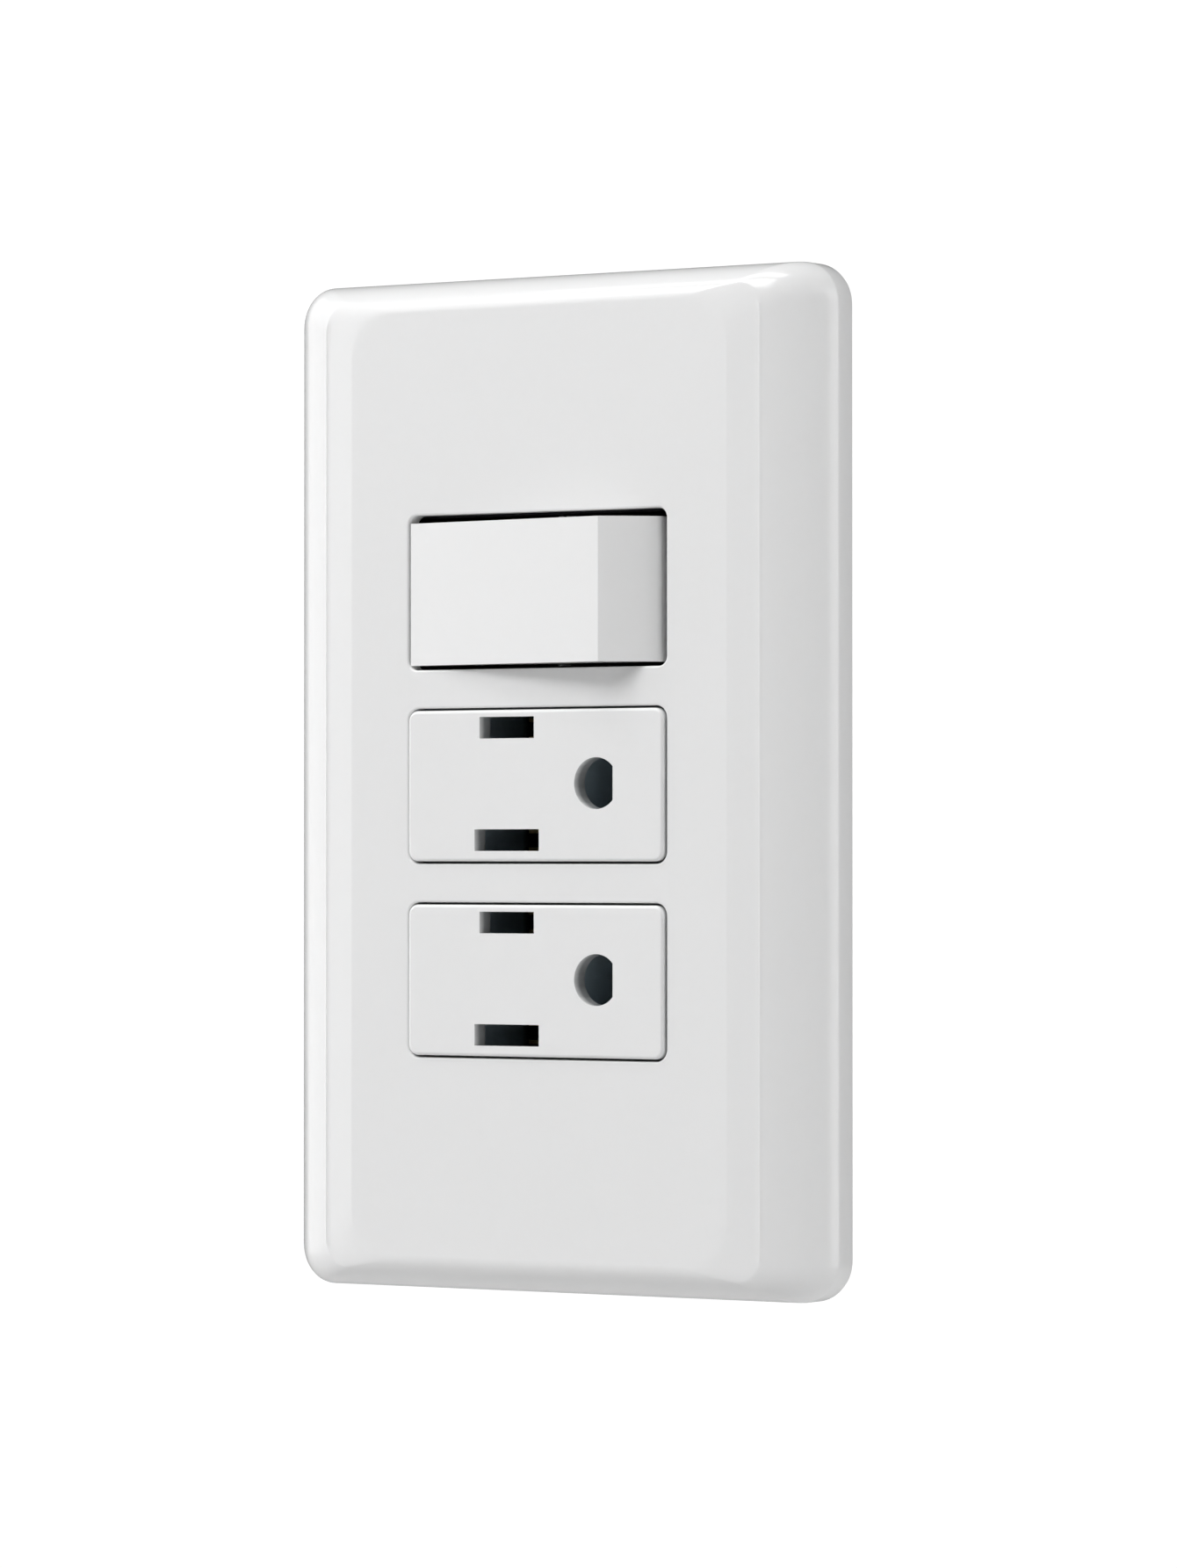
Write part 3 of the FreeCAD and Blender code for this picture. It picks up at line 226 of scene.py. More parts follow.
def gloss_plastic(name, colour, rough=0.16, coat=0.1, painted_shading=None):
    """Moulded gloss plastic: faint flow waviness, fine orange peel and small roughness patches."""
    n = Nodes(name)
    broad = n.noise(55.0, 3.0)
    fine = n.noise(900.0, 2.0)
    speck = n.noise(2600.0, 3.0, 0.6)
    body = n.tint(fine, "Fac", 0.3, 0.7, scaled(colour, 0.995), colour)
    n.paint(body, painted_shading)
    patch = n.ramp(broad, "Fac", 0.3, 0.7, rough * 0.9, rough * 1.15)
    n.link(patch, "Result", n.shader, "Roughness")
    wave = n.bump(broad, "Fac", 0.10, 0.0004)
    peel = n.bump(fine, "Fac", 0.05, 0.00004, wave)
    grit = n.bump(speck, "Fac", 0.03, 0.00001, peel)
    n.link(grit, "Normal", n.shader, "Normal")
    n.shader.inputs["IOR"].default_value = 1.49
    n.shader.inputs["Coat Weight"].default_value = coat
    n.shader.inputs["Coat Roughness"].default_value = 0.16
    n.shader.inputs["Subsurface Weight"].default_value = 0.06
    n.shader.inputs["Subsurface Radius"].default_value = (0.0012, 0.0011, 0.0010)
    n.shader.inputs["Subsurface Scale"].default_value = 1.0
    return n.material


def satin_plastic(name, colour, rough=0.5, grain=0.5, shine=0.5, painted_shading=None):
    """Spark-textured moulding: fine pits, flow marks and slightly rubbed high spots."""
    n = Nodes(name)
    broad = n.noise(70.0, 4.0)
    pits = n.add("ShaderNodeTexVoronoi", feature="SMOOTH_F1")
    pits.inputs["Scale"].default_value = 3200.0
    n.link(n.coords, "Object", pits, "Vector")
    scuff = n.noise(420.0, 6.0, 0.7, stretch=(1.0, 1.0, 6.0))
    body = n.tint(broad, "Fac", 0.3, 0.72, scaled(colour, 0.86), scaled(colour, 1.08))
    n.paint(body, painted_shading)
    worn = n.ramp(scuff, "Fac", 0.35, 0.75, rough * 0.8, min(1.0, rough * 1.25))
    n.link(worn, "Result", n.shader, "Roughness")
    spark = n.bump(pits, "Distance", grain, 0.00003)
    flow = n.bump(broad, "Fac", 0.12, 0.0002, spark)
    n.link(flow, "Normal", n.shader, "Normal")
    n.shader.inputs["Specular IOR Level"].default_value = shine
    return n.material


def plated_sheet(name, colour, rough=0.34):
    """Zinc plated steel: rolling lines, cloudy spangle and dull spots."""
    n = Nodes(name)
    lines = n.noise(110.0, 5.0, 0.65, stretch=(14.0, 14.0, 0.5))
    cloud = n.noise(160.0, 5.0, 0.6)
    spangle = n.add("ShaderNodeTexVoronoi")
    spangle.inputs["Scale"].default_value = 420.0
    n.link(n.coords, "Object", spangle, "Vector")
    body = n.tint(cloud, "Fac", 0.3, 0.7, scaled(colour, 0.84), scaled(colour, 1.05))
    n.link(body, "Color", n.shader, "Base Color")
    dull = n.ramp(cloud, "Fac", 0.3, 0.72, rough * 0.75, rough * 1.45)
    n.link(dull, "Result", n.shader, "Roughness")
    rolled = n.bump(lines, "Fac", 0.16, 0.00003)
    mottled = n.bump(spangle, "Distance", 0.05, 0.00003, rolled)
    n.link(mottled, "Normal", n.shader, "Normal")
    n.shader.inputs["Metallic"].default_value = 1.0
    return n.material


def turned_metal(name, colour, rough=0.25, tarnish=0.8):
    """Brass, nickel or steel from rod or strip: fine machining lines and tarnish in patches."""
    n = Nodes(name)
    cloud = n.noise(380.0, 6.0, 0.62)
    lines = n.noise(900.0, 3.0, 0.5, stretch=(1.0, 12.0, 1.0))
    body = n.tint(cloud, "Fac", 0.34, 0.66, scaled(colour, tarnish), colour)
    n.link(body, "Color", n.shader, "Base Color")
    dull = n.ramp(cloud, "Fac", 0.3, 0.7, rough * 1.5, rough * 0.8)
    n.link(dull, "Result", n.shader, "Roughness")
    marks = n.bump(lines, "Fac", 0.12, 0.00002)
    n.link(marks, "Normal", n.shader, "Normal")
    n.shader.inputs["Metallic"].default_value = 1.0
    n.shader.inputs["Anisotropic"].default_value = 0.3
    return n.material


PLATE_WHITE = (0.875, 0.875, 0.875)
# Painted shade: the walls of the outlet slots are painted darker inwards, where shade falls in the slots.
SLOT_PAINTED_SHADE = (-0.00930, -0.0084, (0.44, 0.45, 0.455))
# Painted light: the fronts of the modules, seen through the slots, are painted paler than their backs,
# standing in for light that reaches into the slots.
FRONT_PAINTED_LIGHT = (0.0030, 0.0016, (0.42, 0.50, 0.55))
MATERIALS = {
    "plate_plastic": gloss_plastic("plate_gloss_white", PLATE_WHITE),
    "key_plastic": gloss_plastic("key_gloss_white", (0.885, 0.885, 0.885), rough=0.15),
    "face_plastic": gloss_plastic("face_gloss_white", (0.88, 0.88, 0.88), rough=0.17, painted_shading=SLOT_PAINTED_SHADE),
    "frame_plastic": satin_plastic(
        "frame_satin_black", (0.010, 0.011, 0.012), rough=0.6, grain=0.4, shine=0.08),
    "housing_plastic": satin_plastic(
        "housing_matt_dark", (0.04, 0.044, 0.047), rough=0.55, painted_shading=FRONT_PAINTED_LIGHT),
    "strap_steel": plated_sheet("strap_zinc", (0.60, 0.61, 0.62)),
    "screw_steel": turned_metal("screw_zinc", (0.58, 0.585, 0.59), rough=0.3),
    "brass": turned_metal("strip_brass", (0.72, 0.52, 0.24), rough=0.28, tarnish=0.7),
    "hot_screw": turned_metal("screw_brass", (0.70, 0.48, 0.20), rough=0.26, tarnish=0.72),
    "neutral_screw": turned_metal("screw_nickel", (0.70, 0.69, 0.66), rough=0.2, tarnish=0.85),
    "ground_screw": turned_metal("screw_green", (0.03, 0.22, 0.08), rough=0.32, tarnish=0.75),
    "silver": turned_metal("contact_silver", (0.83, 0.82, 0.79), rough=0.25, tarnish=0.8),
    "pin_steel": turned_metal("pin_bright_steel", (0.56, 0.57, 0.58), rough=0.22),
    "spring_steel": turned_metal("spring_wire_steel", (0.48, 0.49, 0.50), rough=0.3),
}


# ---------------------------------------------------------------- mesh helpers

def loop(half_x, half_z, radius, y, centre_z=0.0, steps=16):
    """Points of a rounded rectangle at one depth, in mm, in order round it."""
    points = []
    corners = [(1, -1, -90), (1, 1, 0), (-1, 1, 90), (-1, -1, 180)]
    for sx, sz, start in corners:
        for step in range(steps + 1):
            angle = math.radians(start + 90.0 * step / steps)
            x = sx * (half_x - radius) + radius * math.cos(angle)
            z = sz * (half_z - radius) + radius * math.sin(angle)
            points.append((x, y, z + centre_z))
    return points


def add_loop(mesh, points):
    return [mesh.verts.new(Vector(p) * MM) for p in points]


def bridge(mesh, first, second, flip=False):
    """Quads between two loops of the same count."""
    count = len(first)
    for i in range(count):
        j = (i + 1) % count
        quad = [first[i], first[j], second[j], second[i]]
        mesh.faces.new(quad[::-1] if flip else quad)


def fill_flat(mesh, outer, holes):
    """Plane region inside one loop and outside the others."""
    edges = []
    for ring in [outer] + holes:
        for i, vertex in enumerate(ring):
            follow = ring[(i + 1) % len(ring)]
            edges.append(mesh.edges.get((vertex, follow)) or mesh.edges.new((vertex, follow)))
    bmesh.ops.triangle_fill(mesh, use_beauty=True, use_dissolve=False, edges=edges)


def finished(mesh, name, body, slot, replaces=(), sharp=30.0):
    """Turn a bmesh into a piece that rides on a body; edges over the sharp angle stay sharp."""
    bmesh.ops.recalc_face_normals(mesh, faces=mesh.faces)
    data = bpy.data.meshes.new(name)
    mesh.to_mesh(data)
    mesh.free()
    piece = bpy.data.objects.new(name, data)
    bpy.context.collection.objects.link(piece)
    dress(piece, MATERIALS[slot])
    smooth(piece, sharp)
    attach(piece, body)
    if replaces:
        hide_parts(*replaces)
    return piece


def dress(piece, material):
    """Give a piece one material, without changing the mesh of a CAD node."""
    if piece.data.materials:
        for index in range(len(piece.data.materials)):
            piece.material_slots[index].link = "OBJECT"
            piece.material_slots[index].material = material
    else:
        piece.data.materials.append(material)


def smooth(piece, sharp):
    """Smooth shading up to an angle in degrees, weighted by face size."""
    for face in piece.data.polygons:
        face.use_smooth = True
    piece.data.set_sharp_from_angle(angle=math.radians(sharp))
    weighted = piece.modifiers.new("even_normals", "WEIGHTED_NORMAL")
    weighted.keep_sharp = True
    weighted.weight = 80


# ---------------------------------------------------------------- cover plate

def end_inset(depth):
    """How far the ends stand in from the plate's end at one depth: a quarter ellipse."""
    return END_INSET * (1.0 - math.sqrt(max(0.0, 1.0 - (1.0 - depth / CROWN_DROP) ** 2)))


def crown_profile(steps=22):
    """Depth behind the front, side inset, end inset and corner radius, from the rim to the flat."""
    turn_start, turn_end = math.radians(19.0), math.radians(57.5)
    full = CREASE_DEPTH + CROWN_ARC * (math.cos(turn_start) - math.cos(turn_end))
    result = []
    for step in range(steps + 1):
        turn = turn_end + (turn_start - turn_end) * step / steps
        depth = (CREASE_DEPTH + CROWN_ARC * (math.cos(turn_start) - math.cos(turn))) * CROWN_DROP / full
        inset_x = max(0.0, CREASE_INSET - CROWN_ARC * (math.sin(turn) - math.sin(turn_start)))
        radius = CREASE_RADIUS + (RIM_RADIUS - CREASE_RADIUS) * depth / CROWN_DROP
        result.append((depth, inset_x, end_inset(depth), radius))
    # A fine raised line along the crease, then the shallow facet up to the flat.
    crease_depth, crease_x, crease_z, crease_radius = result.pop()
    slope = (result[-1][0] - crease_depth) / (crease_x - result[-1][1])
    foot = crease_depth + BEAD_HALF_WIDTH * slope
    result.append((foot, crease_x - BEAD_HALF_WIDTH, end_inset(foot), crease_radius))
    result.append((BEAD_DEPTH, crease_x, crease_z, crease_radius))
    for part in (0.04, 0.2, 0.4, 0.6, 0.8, 0.955, 1.0):
        depth = CREASE_DEPTH * (1.0 - part)
        inset_x = CREASE_INSET + FACET_WIDTH * part
        result.append((depth, inset_x, end_inset(depth), crease_radius + FACET_TURN * part))
    return result


def fade_bead(ring, side_x):
    """Keep the bead on the two long sides only, so the ends and corners stay smooth."""
    result = []
    for x, y, z in ring:
        lift = min(1.0, max(0.0, 1.0 - (side_x - abs(x)) / BEAD_FADE))
        result.append((x, y + BEAD_HEIGHT * (1.0 - lift), z))
    return result


def inset_loop(inset_x, inset_z, radius, y):
    """Rounded rectangle set in from the plate's outline."""
    return loop(HALF_X - inset_x, HALF_Z - inset_z, radius, y)


def outer_skin(mesh):
    """Outside of the plate from the wall forward; returns its first and last loops."""
    rings = [
        inset_loop(0.35, 0.35, RIM_RADIUS - 0.35, 0.0),
        inset_loop(0.1, 0.1, RIM_RADIUS - 0.1, -0.08),
        inset_loop(0.0, 0.0, RIM_RADIUS, -0.35),
        inset_loop(0.0, 0.0, RIM_RADIUS, -RIM_DEPTH * 0.55),
    ]
    for depth, inset_x, inset_z, radius in crown_profile():
        ring = inset_loop(inset_x, inset_z, radius, FRONT + depth)
        if depth == BEAD_DEPTH:
            ring = fade_bead(ring, HALF_X - inset_x)
        rings.append(ring)
    rows = [add_loop(mesh, ring) for ring in rings]
    for first, second in zip(rows, rows[1:]):
        bridge(mesh, first, second)
    return rows[0], rows[-1]


def inner_skin(mesh):
    """Inside of the plate from the wall forward; returns its first and last loops."""
    radius = RIM_RADIUS - WALL
    rings = [
        inset_loop(WALL - 0.3, WALL - 0.3, radius + 0.3, 0.0),
        inset_loop(WALL, WALL, radius, -0.3),
        inset_loop(WALL, WALL, radius, -RIM_DEPTH),
        inset_loop(4.2, 2.8, radius - 0.2, -RIM_DEPTH - 1.9),
        inset_loop(6.4, 3.7, radius - 0.4, ROOF + 0.9),
        inset_loop(9.2, 4.8, radius - 0.6, ROOF + 0.15),
        inset_loop(10.4, 5.6, radius - 0.8, ROOF),
    ]
    rows = [add_loop(mesh, ring) for ring in rings]
    for first, second in zip(rows, rows[1:]):
        bridge(mesh, first, second, flip=True)
    return rows[0], rows[-1]


def window_wall(mesh, row_z, radius):
    """Small round at the front edge and the wall behind it; returns the front and rear loops."""
    rings = []
    for step in range(6):
        turn = math.radians(90.0 * step / 5)
        out = WINDOW_ROUND * (1.0 - math.sin(turn))
        back = WINDOW_ROUND * (1.0 - math.cos(turn))
        rings.append(loop(WINDOW_X + out, WINDOW_Z + out, radius + out, FRONT + back, row_z, 8))
    rings.append(loop(WINDOW_X, WINDOW_Z, radius, FRONT + 1.0, row_z, 8))
    rings.append(loop(WINDOW_X, WINDOW_Z, radius, ROOF, row_z, 8))
    rows = [add_loop(mesh, ring) for ring in rings]
    for first, second in zip(rows, rows[1:]):
        bridge(mesh, first, second)
    return rows[0], rows[-1]


def make_plate():
    """Hollow cover plate with a crowned front and three windows."""
    mesh = bmesh.new()
    outer_rim, flat = outer_skin(mesh)
    inner_rim, roof = inner_skin(mesh)
    bridge(mesh, outer_rim, inner_rim, flip=True)
    front_holes = []
    roof_holes = []
    for word, row_z in ROW_Z.items():
        radius = KEY_WINDOW_RADIUS if word == "switch" else WINDOW_RADIUS
        front, rear = window_wall(mesh, row_z, radius)
        front_holes.append(front)
        roof_holes.append(rear)
    fill_flat(mesh, flat, front_holes)
    fill_flat(mesh, roof, roof_holes)
    finished(mesh, "plate_shell", "base", "plate_plastic", replaces=("cover_plate",), sharp=40.0)


# ---------------------------------------------------------------- plate hooks and ribs

def add_prism(mesh, outline, low, high, axis="z"):
    """Closed prism from an outline in mm, swept between two places on one axis."""

    def place(point, along):
        a, b = point
        if axis == "z":
            return Vector((a, b, along)) * MM
        if axis == "y":
            return Vector((a, along, b)) * MM
        return Vector((along, a, b)) * MM

    first = [mesh.verts.new(place(p, low)) for p in outline]
    second = [mesh.verts.new(place(p, high)) for p in outline]
    bridge(mesh, first, second)
    mesh.faces.new(first[::-1])
    mesh.faces.new(second)


def soft_edges(piece, width, segments=2, angle=30):
    """Bevel of a width in mm on every edge over an angle."""
    bevel = piece.modifiers.new("edge_round", "BEVEL")
    bevel.width = width * MM
    bevel.segments = segments
    bevel.limit_method = "ANGLE"
    bevel.angle_limit = math.radians(angle)
    bevel.use_clamp_overlap = True


def mirrored(outline, side):
    """Outline on one side of the middle: 1 leaves it, -1 mirrors its first coordinate."""
    return [(a * side, b) for a, b in outline]


def make_plate_hooks():
    """Four barbed hooks that pass through the mounting frame, each braced by two webs at its root."""
    mesh = bmesh.new()
    hook = [(17.2, ROOF - 0.2), (18.8, ROOF - 0.2), (18.8, 0.1), (19.4, 0.1), (19.35, 0.45),
            (18.75, 1.2), (17.6, 1.2), (17.2, 0.8)]
    web = [(17.3, ROOF - 0.2), (13.9, ROOF - 0.2), (14.3, ROOF + 0.5), (17.3, -3.6)]
    for side in (-1, 1):
        for end in (-1, 1):
            middle = HOOK_Z * end
            add_prism(mesh, mirrored(hook, side), middle - HOOK_HALF, middle + HOOK_HALF)
            for offset in (-WEB_OFFSET, WEB_OFFSET):
                place = middle + offset
                add_prism(mesh, mirrored(web, side), place - WEB_HALF, place + WEB_HALF)
    piece = finished(mesh, "plate_hooks", "base", "plate_plastic")
    soft_edges(piece, 0.16)


def make_plate_ribs():
    """Gusset ribs between the rim and the roof, and a rail down each side of the frame."""
    mesh = bmesh.new()
    inner_x = HALF_X - WALL
    side_rib = [(inner_x + 0.2, -0.8), (inner_x - 0.2, -0.8), (inner_x - 1.6, -2.6), (26.6, ROOF + 1.3),
                (26.6, ROOF - 0.2), (inner_x - 4.0, ROOF - 0.2), (inner_x + 0.2, -2.4)]
    rail = [(26.0, ROOF - 0.2), (26.9, ROOF - 0.2), (26.8, ROOF + 1.5), (26.1, ROOF + 1.5)]
    for side in (-1, 1):
        for step in range(-4, 5):
            middle = RIB_STEP * step
            add_prism(mesh, mirrored(side_rib, side), middle - RIB_HALF, middle + RIB_HALF)
        add_prism(mesh, mirrored(rail, side), -50.0, 50.0)
    inner_z = HALF_Z - WALL
    end_rib = [(-0.8, inner_z + 0.2), (-0.8, inner_z - 0.2), (-4.2, inner_z - 1.4),
               (ROOF - 0.2, inner_z - 1.8), (ROOF - 0.2, inner_z + 0.2)]
    for end in (-1, 1):
        for x in (-20.0, -10.0, 0.0, 10.0, 20.0):
            outline = [(y, z * end) for y, z in end_rib]
            add_prism(mesh, outline, x - RIB_HALF, x + RIB_HALF, axis="x")
    piece = finished(mesh, "plate_ribs", "base", "plate_plastic")
    soft_edges(piece, 0.12)


# ---------------------------------------------------------------- threaded screws

def thread_rings(radius, core, pitch, start, end, taper, turns=36):
    """Angle, radius and place along a helical thread, row by row from start to end."""
    rows = []
    step = pitch / 10.0
    count = int((end - start) / step)
    for index in range(count + 1):
        along = start + (end - start) * index / count
        left = (end - along) / taper
        row = []
        for turn in range(turns):
            angle = 2.0 * math.pi * turn / turns
            phase = (along / pitch - turn / turns) % 1.0
            ridge = max(0.0, 1.0 - abs(phase - 0.5) * 2.6)
            reach = core + (radius - core) * ridge
            reach = min(reach, core * 0.55 + (radius - core * 0.55) * min(1.0, max(0.0, left)))
            row.append((angle, reach, along))
        rows.append(row)
    return rows


def add_turned(mesh, rows, place):
    """Skin over rows of points round an axis, closed at both ends."""
    rings = []
    for row in rows:
        rings.append([mesh.verts.new(place(r * math.cos(a), r * math.sin(a), along) * MM)
                      for a, r, along in row])
    for first, second in zip(rings, rings[1:]):
        bridge(mesh, first, second)
    mesh.faces.new(rings[0][::-1])
    mesh.faces.new(rings[-1])


def circle_row(radius, along, turns=36):
    return [(2.0 * math.pi * t / turns, radius, along) for t in range(turns)]


def half_head_row(radius, along, side, half_slot=0.5, turns=24):
    """Points of the part of a circle on one side of the driver slot."""
    start = math.asin(half_slot / radius)
    row = []
    for turn in range(turns + 1):
        angle = start + (math.pi - 2.0 * start) * turn / turns
        row.append((angle if side > 0 else angle + math.pi, radius, along))
    return row


def make_wall_screws():
    """Two wall screws: oval slotted head, plain neck and rolled thread to a blunt point."""
    mesh = bmesh.new()
    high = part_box("mounting_screws")[1]
    reach_z = high[2] / MM - SCREW_HEAD_RADIUS
    crown = [(3.45, -2.4), (3.5, -2.75), (3.3, -3.1), (2.75, -3.38), (1.7, -3.58), (0.9, -3.6)]
    shank = [(0.8, -2.45), (SCREW_HEAD_RADIUS, -2.45), (SCREW_HEAD_RADIUS, -1.5), (3.1, -1.2),
             (SCREW_NECK_RADIUS, -1.2), (SCREW_NECK_RADIUS, -0.1)]
    for end in (-1, 1):

        def place(a, b, along, z=reach_z * end):
            return Vector((a, along, z + b))

        rows = [circle_row(radius, along) for radius, along in shank]
        rows += thread_rings(SCREW_RADIUS, SCREW_CORE, SCREW_PITCH, 0.0, SCREW_TIP_Y, SCREW_TAPER)
        add_turned(mesh, rows, place)
        for side in (-1, 1):
            add_turned(mesh, [half_head_row(r, y, side) for r, y in crown], place)
    finished(mesh, "wall_screws", "base", "screw_steel", replaces=("mounting_screws",), sharp=50.0)


# ---------------------------------------------------------------- mouldings on the module backs

def add_frame(mesh, half_x, half_z, radius, width, centre_z, base, top):
    """Raised rounded frame with sloping sides on a plane behind the wall."""
    rings = [
        loop(half_x, half_z, radius, base, centre_z, 6),
        loop(half_x - 0.12, half_z - 0.12, radius - 0.12, top, centre_z, 6),
        loop(half_x - width + 0.12, half_z - width + 0.12, radius - width + 0.3, top, centre_z, 6),
        loop(half_x - width, half_z - width, radius - width + 0.2, base, centre_z, 6),
    ]
    rows = [add_loop(mesh, ring) for ring in rings]
    for first, second in zip(rows, rows[1:] + rows[:1]):
        bridge(mesh, first, second)


def box_outline(low_x, high_x, low_z, high_z):
    return [(low_x, low_z), (high_x, low_z), (high_x, high_z), (low_x, high_z)]


def make_module_back(word, row_z):
    """Raised panel, strip gauge, grip ribs and gate marks moulded on the back of one module."""
    node = "switch_housing" if word == "switch" else word + "_outlet_body"
    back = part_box(node)[1][1] / MM
    base, top = back - 0.05, back + 0.35
    mesh = bmesh.new()
    add_frame(mesh, 11.4, 4.6, 1.2, 0.7, row_z, base, top)
    for step in range(7):
        x = -6.0 + 2.0 * step
        height = 1.6 if step % 3 == 0 else 0.9
        tick = box_outline(x - 0.2, x + 0.2, row_z - 2.9, row_z - 2.9 + height)
        add_prism(mesh, tick, base, top - 0.1, axis="y")
    bar = box_outline(-6.8, 6.8, row_z - 3.3, row_z - 2.85)
    add_prism(mesh, bar, base, top - 0.1, axis="y")
    for end in (-1, 1):
        for step in range(-6, 7):
            x = 1.9 * step
            rib = box_outline(x - 0.28, x + 0.28, row_z + end * 6.0, row_z + end * 9.2)
            add_prism(mesh, rib, base, top - 0.05, axis="y")
        rows = [circle_row(0.9, base, 20), circle_row(0.9, top - 0.2, 20), circle_row(0.7, top - 0.1, 20)]

        def place(a, b, along, x=8.4 * end, z=row_z + 0.6):
            return Vector((x + a, along, z + b))

        add_turned(mesh, rows, place)
    piece = finished(mesh, "module_back_" + word, "base", "housing_plastic")
    soft_edges(piece, 0.06)


# ---------------------------------------------------------------- spring in the key

def make_key_spring():
    """Closed-end coil in the stem of the key, riding with the key."""
    joints = {joint["name"]: joint for joint in frame["record"]["behaviour"]["joints"]}
    pivot = Vector(joints["key_rock"]["pos_m"])
    stem = -Vector(joints["plunger_slide"]["axis"]).normalized()
    across = Vector((-stem.y, stem.x, 0.0))
    first_turn = SPRING_SEAT + SPRING_WIRE + SPRING_GAP
    rise_of_turns = SPRING_LENGTH - 2.0 * (SPRING_WIRE + SPRING_GAP)
    mesh = bmesh.new()
    rows = []
    for step in range(SPRING_STEPS + 1):
        share = step / SPRING_STEPS
        angle = 2.0 * math.pi * SPRING_COILS * share
        travel = min(1.0, max(0.0, (share - SPRING_CLOSED) / (1.0 - 2.0 * SPRING_CLOSED)))
        along = first_turn + rise_of_turns * travel
        outward = across * math.cos(angle) + Vector((0.0, 0.0, math.sin(angle)))
        row = []
        for turn in range(10):
            around = 2.0 * math.pi * turn / 10
            reach = SPRING_RADIUS + SPRING_WIRE * math.cos(around)
            rise = along + SPRING_WIRE * math.sin(around)
            row.append(mesh.verts.new(pivot + (outward * reach + stem * rise) * MM))
        rows.append(row)
    for first, second in zip(rows, rows[1:]):
        bridge(mesh, first, second)
    mesh.faces.new(rows[0][::-1])
    mesh.faces.new(rows[-1])
    piece = finished(
        mesh, "key_spring_coil", "rocker_key", "spring_steel", replaces=["key_spring"], sharp=35.0)
    piece.modifiers.clear()
    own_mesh(piece)


make_plate()
make_plate_hooks()
make_plate_ribs()
make_wall_screws()
for row_word, row_middle in ROW_Z.items():
    make_module_back(row_word, row_middle)
make_key_spring()


# ---------------------------------------------------------------- CAD nodes that stay

# Edge rounds in mm; a node that isn't listed gets SMALL_BEVEL.
SMALL_BEVEL = 0.06
BEVELS = {
    "mounting_frame": 0.12, "switch_frame": 0.15, "switch_housing": 0.18, "rocker_key": 0.22,
    "upper_outlet_face": 0.14, "lower_outlet_face": 0.14, "upper_outlet_body": 0.18,
    "lower_outlet_body": 0.18, "terminal_clamps": 0.1, "assembly_screws": 0.12,
    "switch_terminal_screws": 0.16, "hot_terminal_screws": 0.16, "neutral_terminal_screws": 0.16,
    "ground_terminal_screws": 0.16, "key_pivot_pin": 0.12, "fixed_contact_tip": 0.12,
    "moving_contact_tip": 0.12, "moving_contact": 0.08, "common_terminal": 0.08, "switched_terminal": 0.08,
}


def dress_node(node, slot):
    """Material, rounded edges and clean shading on a CAD node."""
    piece = frame["nodes"][node]
    dress(piece, MATERIALS[slot])
    weld = piece.modifiers.new("weld", "WELD")
    weld.merge_threshold = 1e-6
    bevel = piece.modifiers.new("edge_round", "BEVEL")
    bevel.width = BEVELS.get(node, SMALL_BEVEL) * MM
    bevel.segments = 3
    bevel.limit_method = "ANGLE"
    bevel.angle_limit = math.radians(28)
    bevel.harden_normals = False
    bevel.use_clamp_overlap = True
    split = piece.modifiers.new("edge_split", "EDGE_SPLIT")
    split.split_angle = math.radians(33)
    split.use_edge_sharp = False
    weighted = piece.modifiers.new("even_normals", "WEIGHTED_NORMAL")
    weighted.weight = 80


for part in frame["record"]["subparts"]:
    dress_node(part["node"], part["material_slot"])


# ---------------------------------------------------------------- camera, light and floor

WORLD_LEVEL = 0.06
WORLD_SLOPE = (0.0, 0.0, -0.01)
SEEN_WHITE = 1.05
CAMERA_AZIMUTH = 32.4
CAMERA_PITCH = 0.66
CAMERA_DISTANCE = 717.0
CAMERA_AIM = (7.04, FRONT, -8.4)
SENSOR_WIDTH = 36.0
# Focal length over the height of the picture.
FOCAL_SHARE = 7297.0 / 1785.0
FLOOR_Z = -0.30


def make_camera():
    """Camera level with the lower half of the plate, to its right, turned up a little."""
    azimuth = math.radians(CAMERA_AZIMUTH)
    pitch = math.radians(CAMERA_PITCH)
    look = Vector((-math.sin(azimuth), math.cos(azimuth), 0.0))
    data = bpy.data.cameras.new("camera")
    data.sensor_fit = "AUTO"
    data.sensor_width = SENSOR_WIDTH
    data.lens = FOCAL_SHARE * SENSOR_WIDTH
    data.clip_start = 0.01
    data.clip_end = 50.0
    camera = bpy.data.objects.new("camera", data)
    bpy.context.collection.objects.link(camera)
    camera.location = (Vector(CAMERA_AIM) - look * CAMERA_DISTANCE) * MM
    direction = Vector((look.x * math.cos(pitch), look.y * math.cos(pitch), math.sin(pitch)))
    camera.rotation_mode = "QUATERNION"
    camera.rotation_quaternion = direction.to_track_quat("-Z", "Y")
    bpy.context.scene.camera = camera


def make_area(name, location, size, power):
    """Rectangular softbox that faces the plate; place and size in metres, power in watts."""
    data = bpy.data.lights.new(name, "AREA")
    data.shape = "RECTANGLE"
    data.size, data.size_y = size
    data.energy = power
    light = bpy.data.objects.new(name, data)
    bpy.context.collection.objects.link(light)
    light.location = location
    light.rotation_mode = "QUATERNION"
    light.rotation_quaternion = (-Vector(location)).to_track_quat("-Z", "Y")


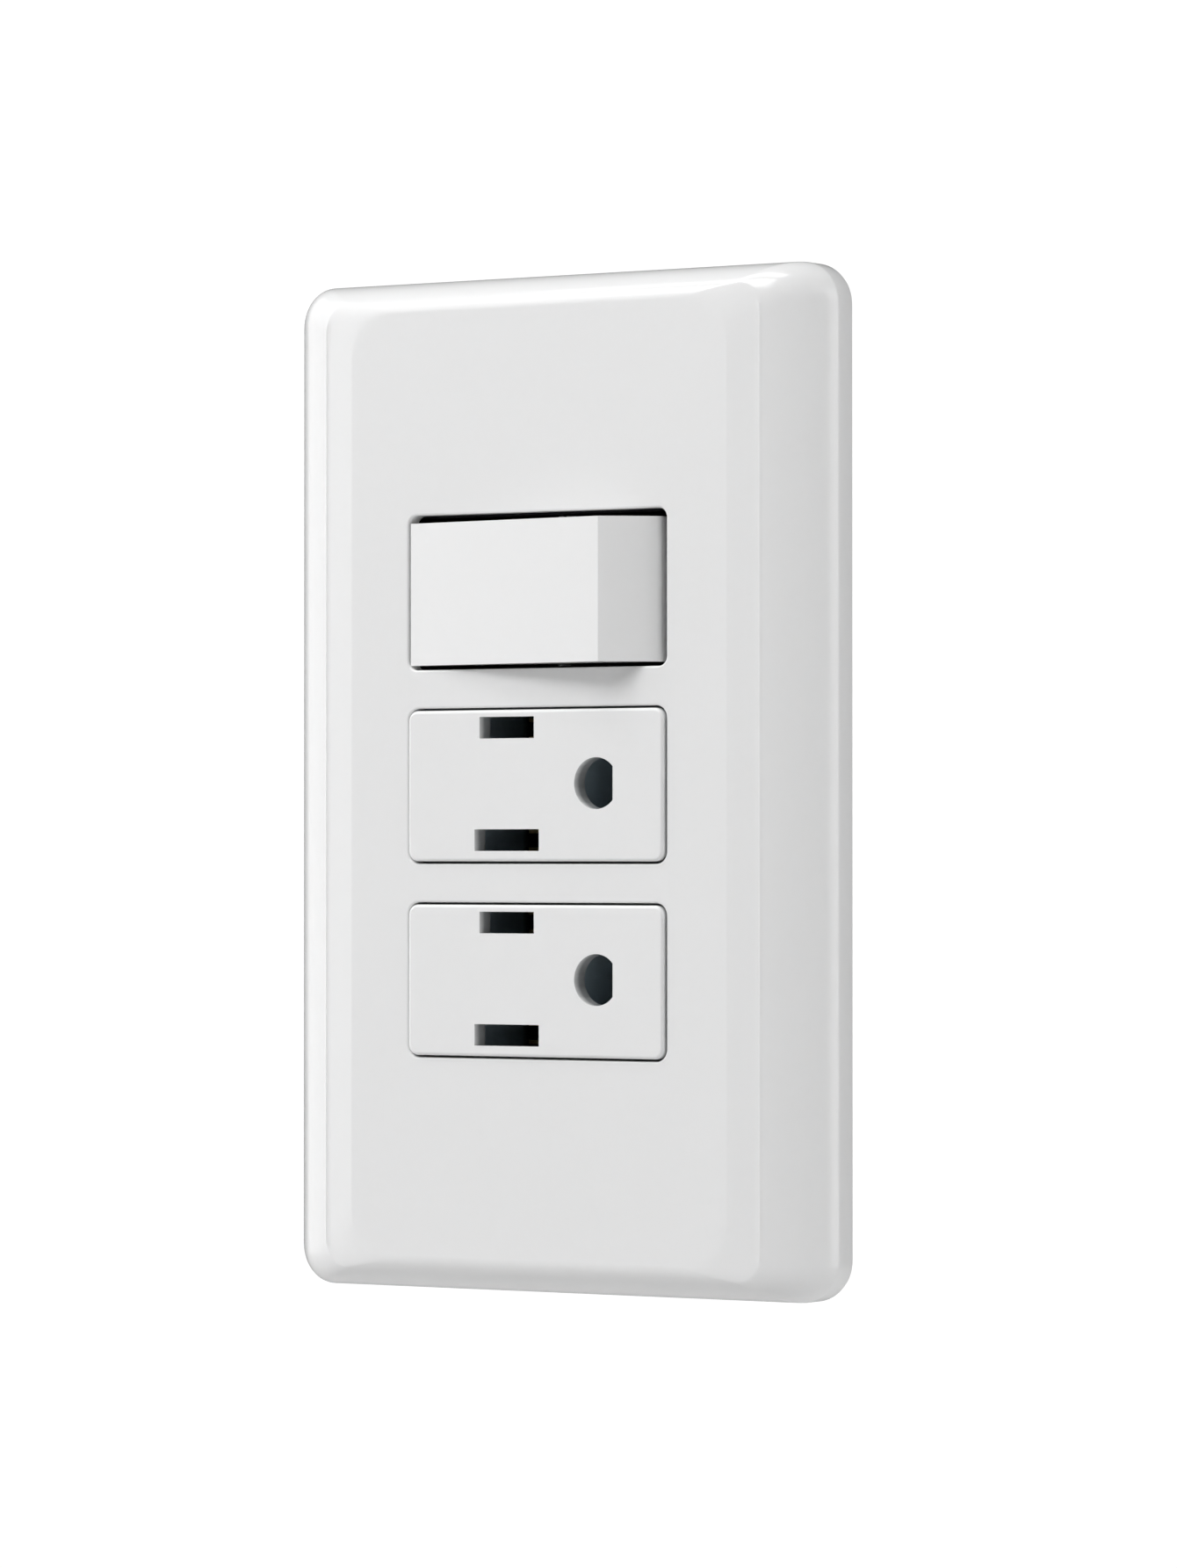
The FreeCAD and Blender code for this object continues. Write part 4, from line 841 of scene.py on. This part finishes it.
def make_world():
    """White surround as the camera sees it; as a light it is dim and a little brighter below."""
    world = bpy.data.worlds.new("studio")
    world.use_nodes = True
    tree = world.node_tree
    tree.nodes.clear()
    out = tree.nodes.new("ShaderNodeOutputWorld")
    seen = tree.nodes.new("ShaderNodeBackground")
    seen.inputs["Color"].default_value = (1.0, 1.0, 1.0, 1.0)
    seen.inputs["Strength"].default_value = SEEN_WHITE
    lit = tree.nodes.new("ShaderNodeBackground")
    lit.inputs["Color"].default_value = (0.955, 0.98, 1.0, 1.0)
    coords = tree.nodes.new("ShaderNodeTexCoord")
    slope = tree.nodes.new("ShaderNodeVectorMath")
    slope.operation = "DOT_PRODUCT"
    slope.inputs[1].default_value = WORLD_SLOPE
    tree.links.new(coords.outputs["Generated"], slope.inputs[0])
    level = tree.nodes.new("ShaderNodeMath")
    level.operation = "ADD"
    level.inputs[1].default_value = WORLD_LEVEL
    tree.links.new(slope.outputs["Value"], level.inputs[0])
    tree.links.new(level.outputs[0], lit.inputs["Strength"])
    path = tree.nodes.new("ShaderNodeLightPath")
    mix = tree.nodes.new("ShaderNodeMixShader")
    tree.links.new(path.outputs["Is Camera Ray"], mix.inputs[0])
    tree.links.new(lit.outputs[0], mix.inputs[1])
    tree.links.new(seen.outputs[0], mix.inputs[2])
    tree.links.new(mix.outputs[0], out.inputs[0])
    bpy.context.scene.world = world


def make_floor():
    """Pale floor below the plate, plain white as the camera sees it."""
    mesh = bmesh.new()
    bmesh.ops.create_grid(mesh, x_segments=1, y_segments=1, size=20.0)
    data = bpy.data.meshes.new("floor")
    mesh.to_mesh(data)
    mesh.free()
    floor = bpy.data.objects.new("floor", data)
    bpy.context.collection.objects.link(floor)
    floor.location = (0.0, 0.0, FLOOR_Z)
    n = Nodes("floor_pale")
    speckle = n.noise(6.0, 3.0)
    tone = n.tint(speckle, "Fac", 0.3, 0.7, (0.76, 0.76, 0.76), (0.80, 0.80, 0.80))
    n.link(tone, "Color", n.shader, "Base Color")
    n.shader.inputs["Roughness"].default_value = 0.9
    glow = n.add("ShaderNodeEmission")
    glow.inputs["Strength"].default_value = SEEN_WHITE
    path = n.add("ShaderNodeLightPath")
    mix = n.add("ShaderNodeMixShader")
    n.tree.links.new(path.outputs["Is Camera Ray"], mix.inputs[0])
    n.tree.links.new(n.shader.outputs[0], mix.inputs[1])
    n.tree.links.new(glow.outputs[0], mix.inputs[2])
    n.tree.links.new(mix.outputs[0], n.out.inputs["Surface"])
    data.materials.append(n.material)


make_camera()
make_world()
make_floor()
make_area("upper_left_softbox", (-1.16, -0.88, 0.95), (1.1, 1.1), 8.1)
make_area("overhead_front", (-0.25, -1.0, 1.04), (1.1, 0.5), 10.2)
make_area("overhead_back", (-0.2, -0.5, 1.35), (1.3, 0.36), 7.6)
make_area("left_softbox", (-1.33, -0.23, 0.1), (1.76, 1.6), 7.7)
make_area("right_fill", (1.35, 0.12, 0.1), (1.0, 1.4), 10.4)
bpy.context.scene.view_settings.view_transform = "Standard"
bpy.context.scene.view_settings.look = "None"
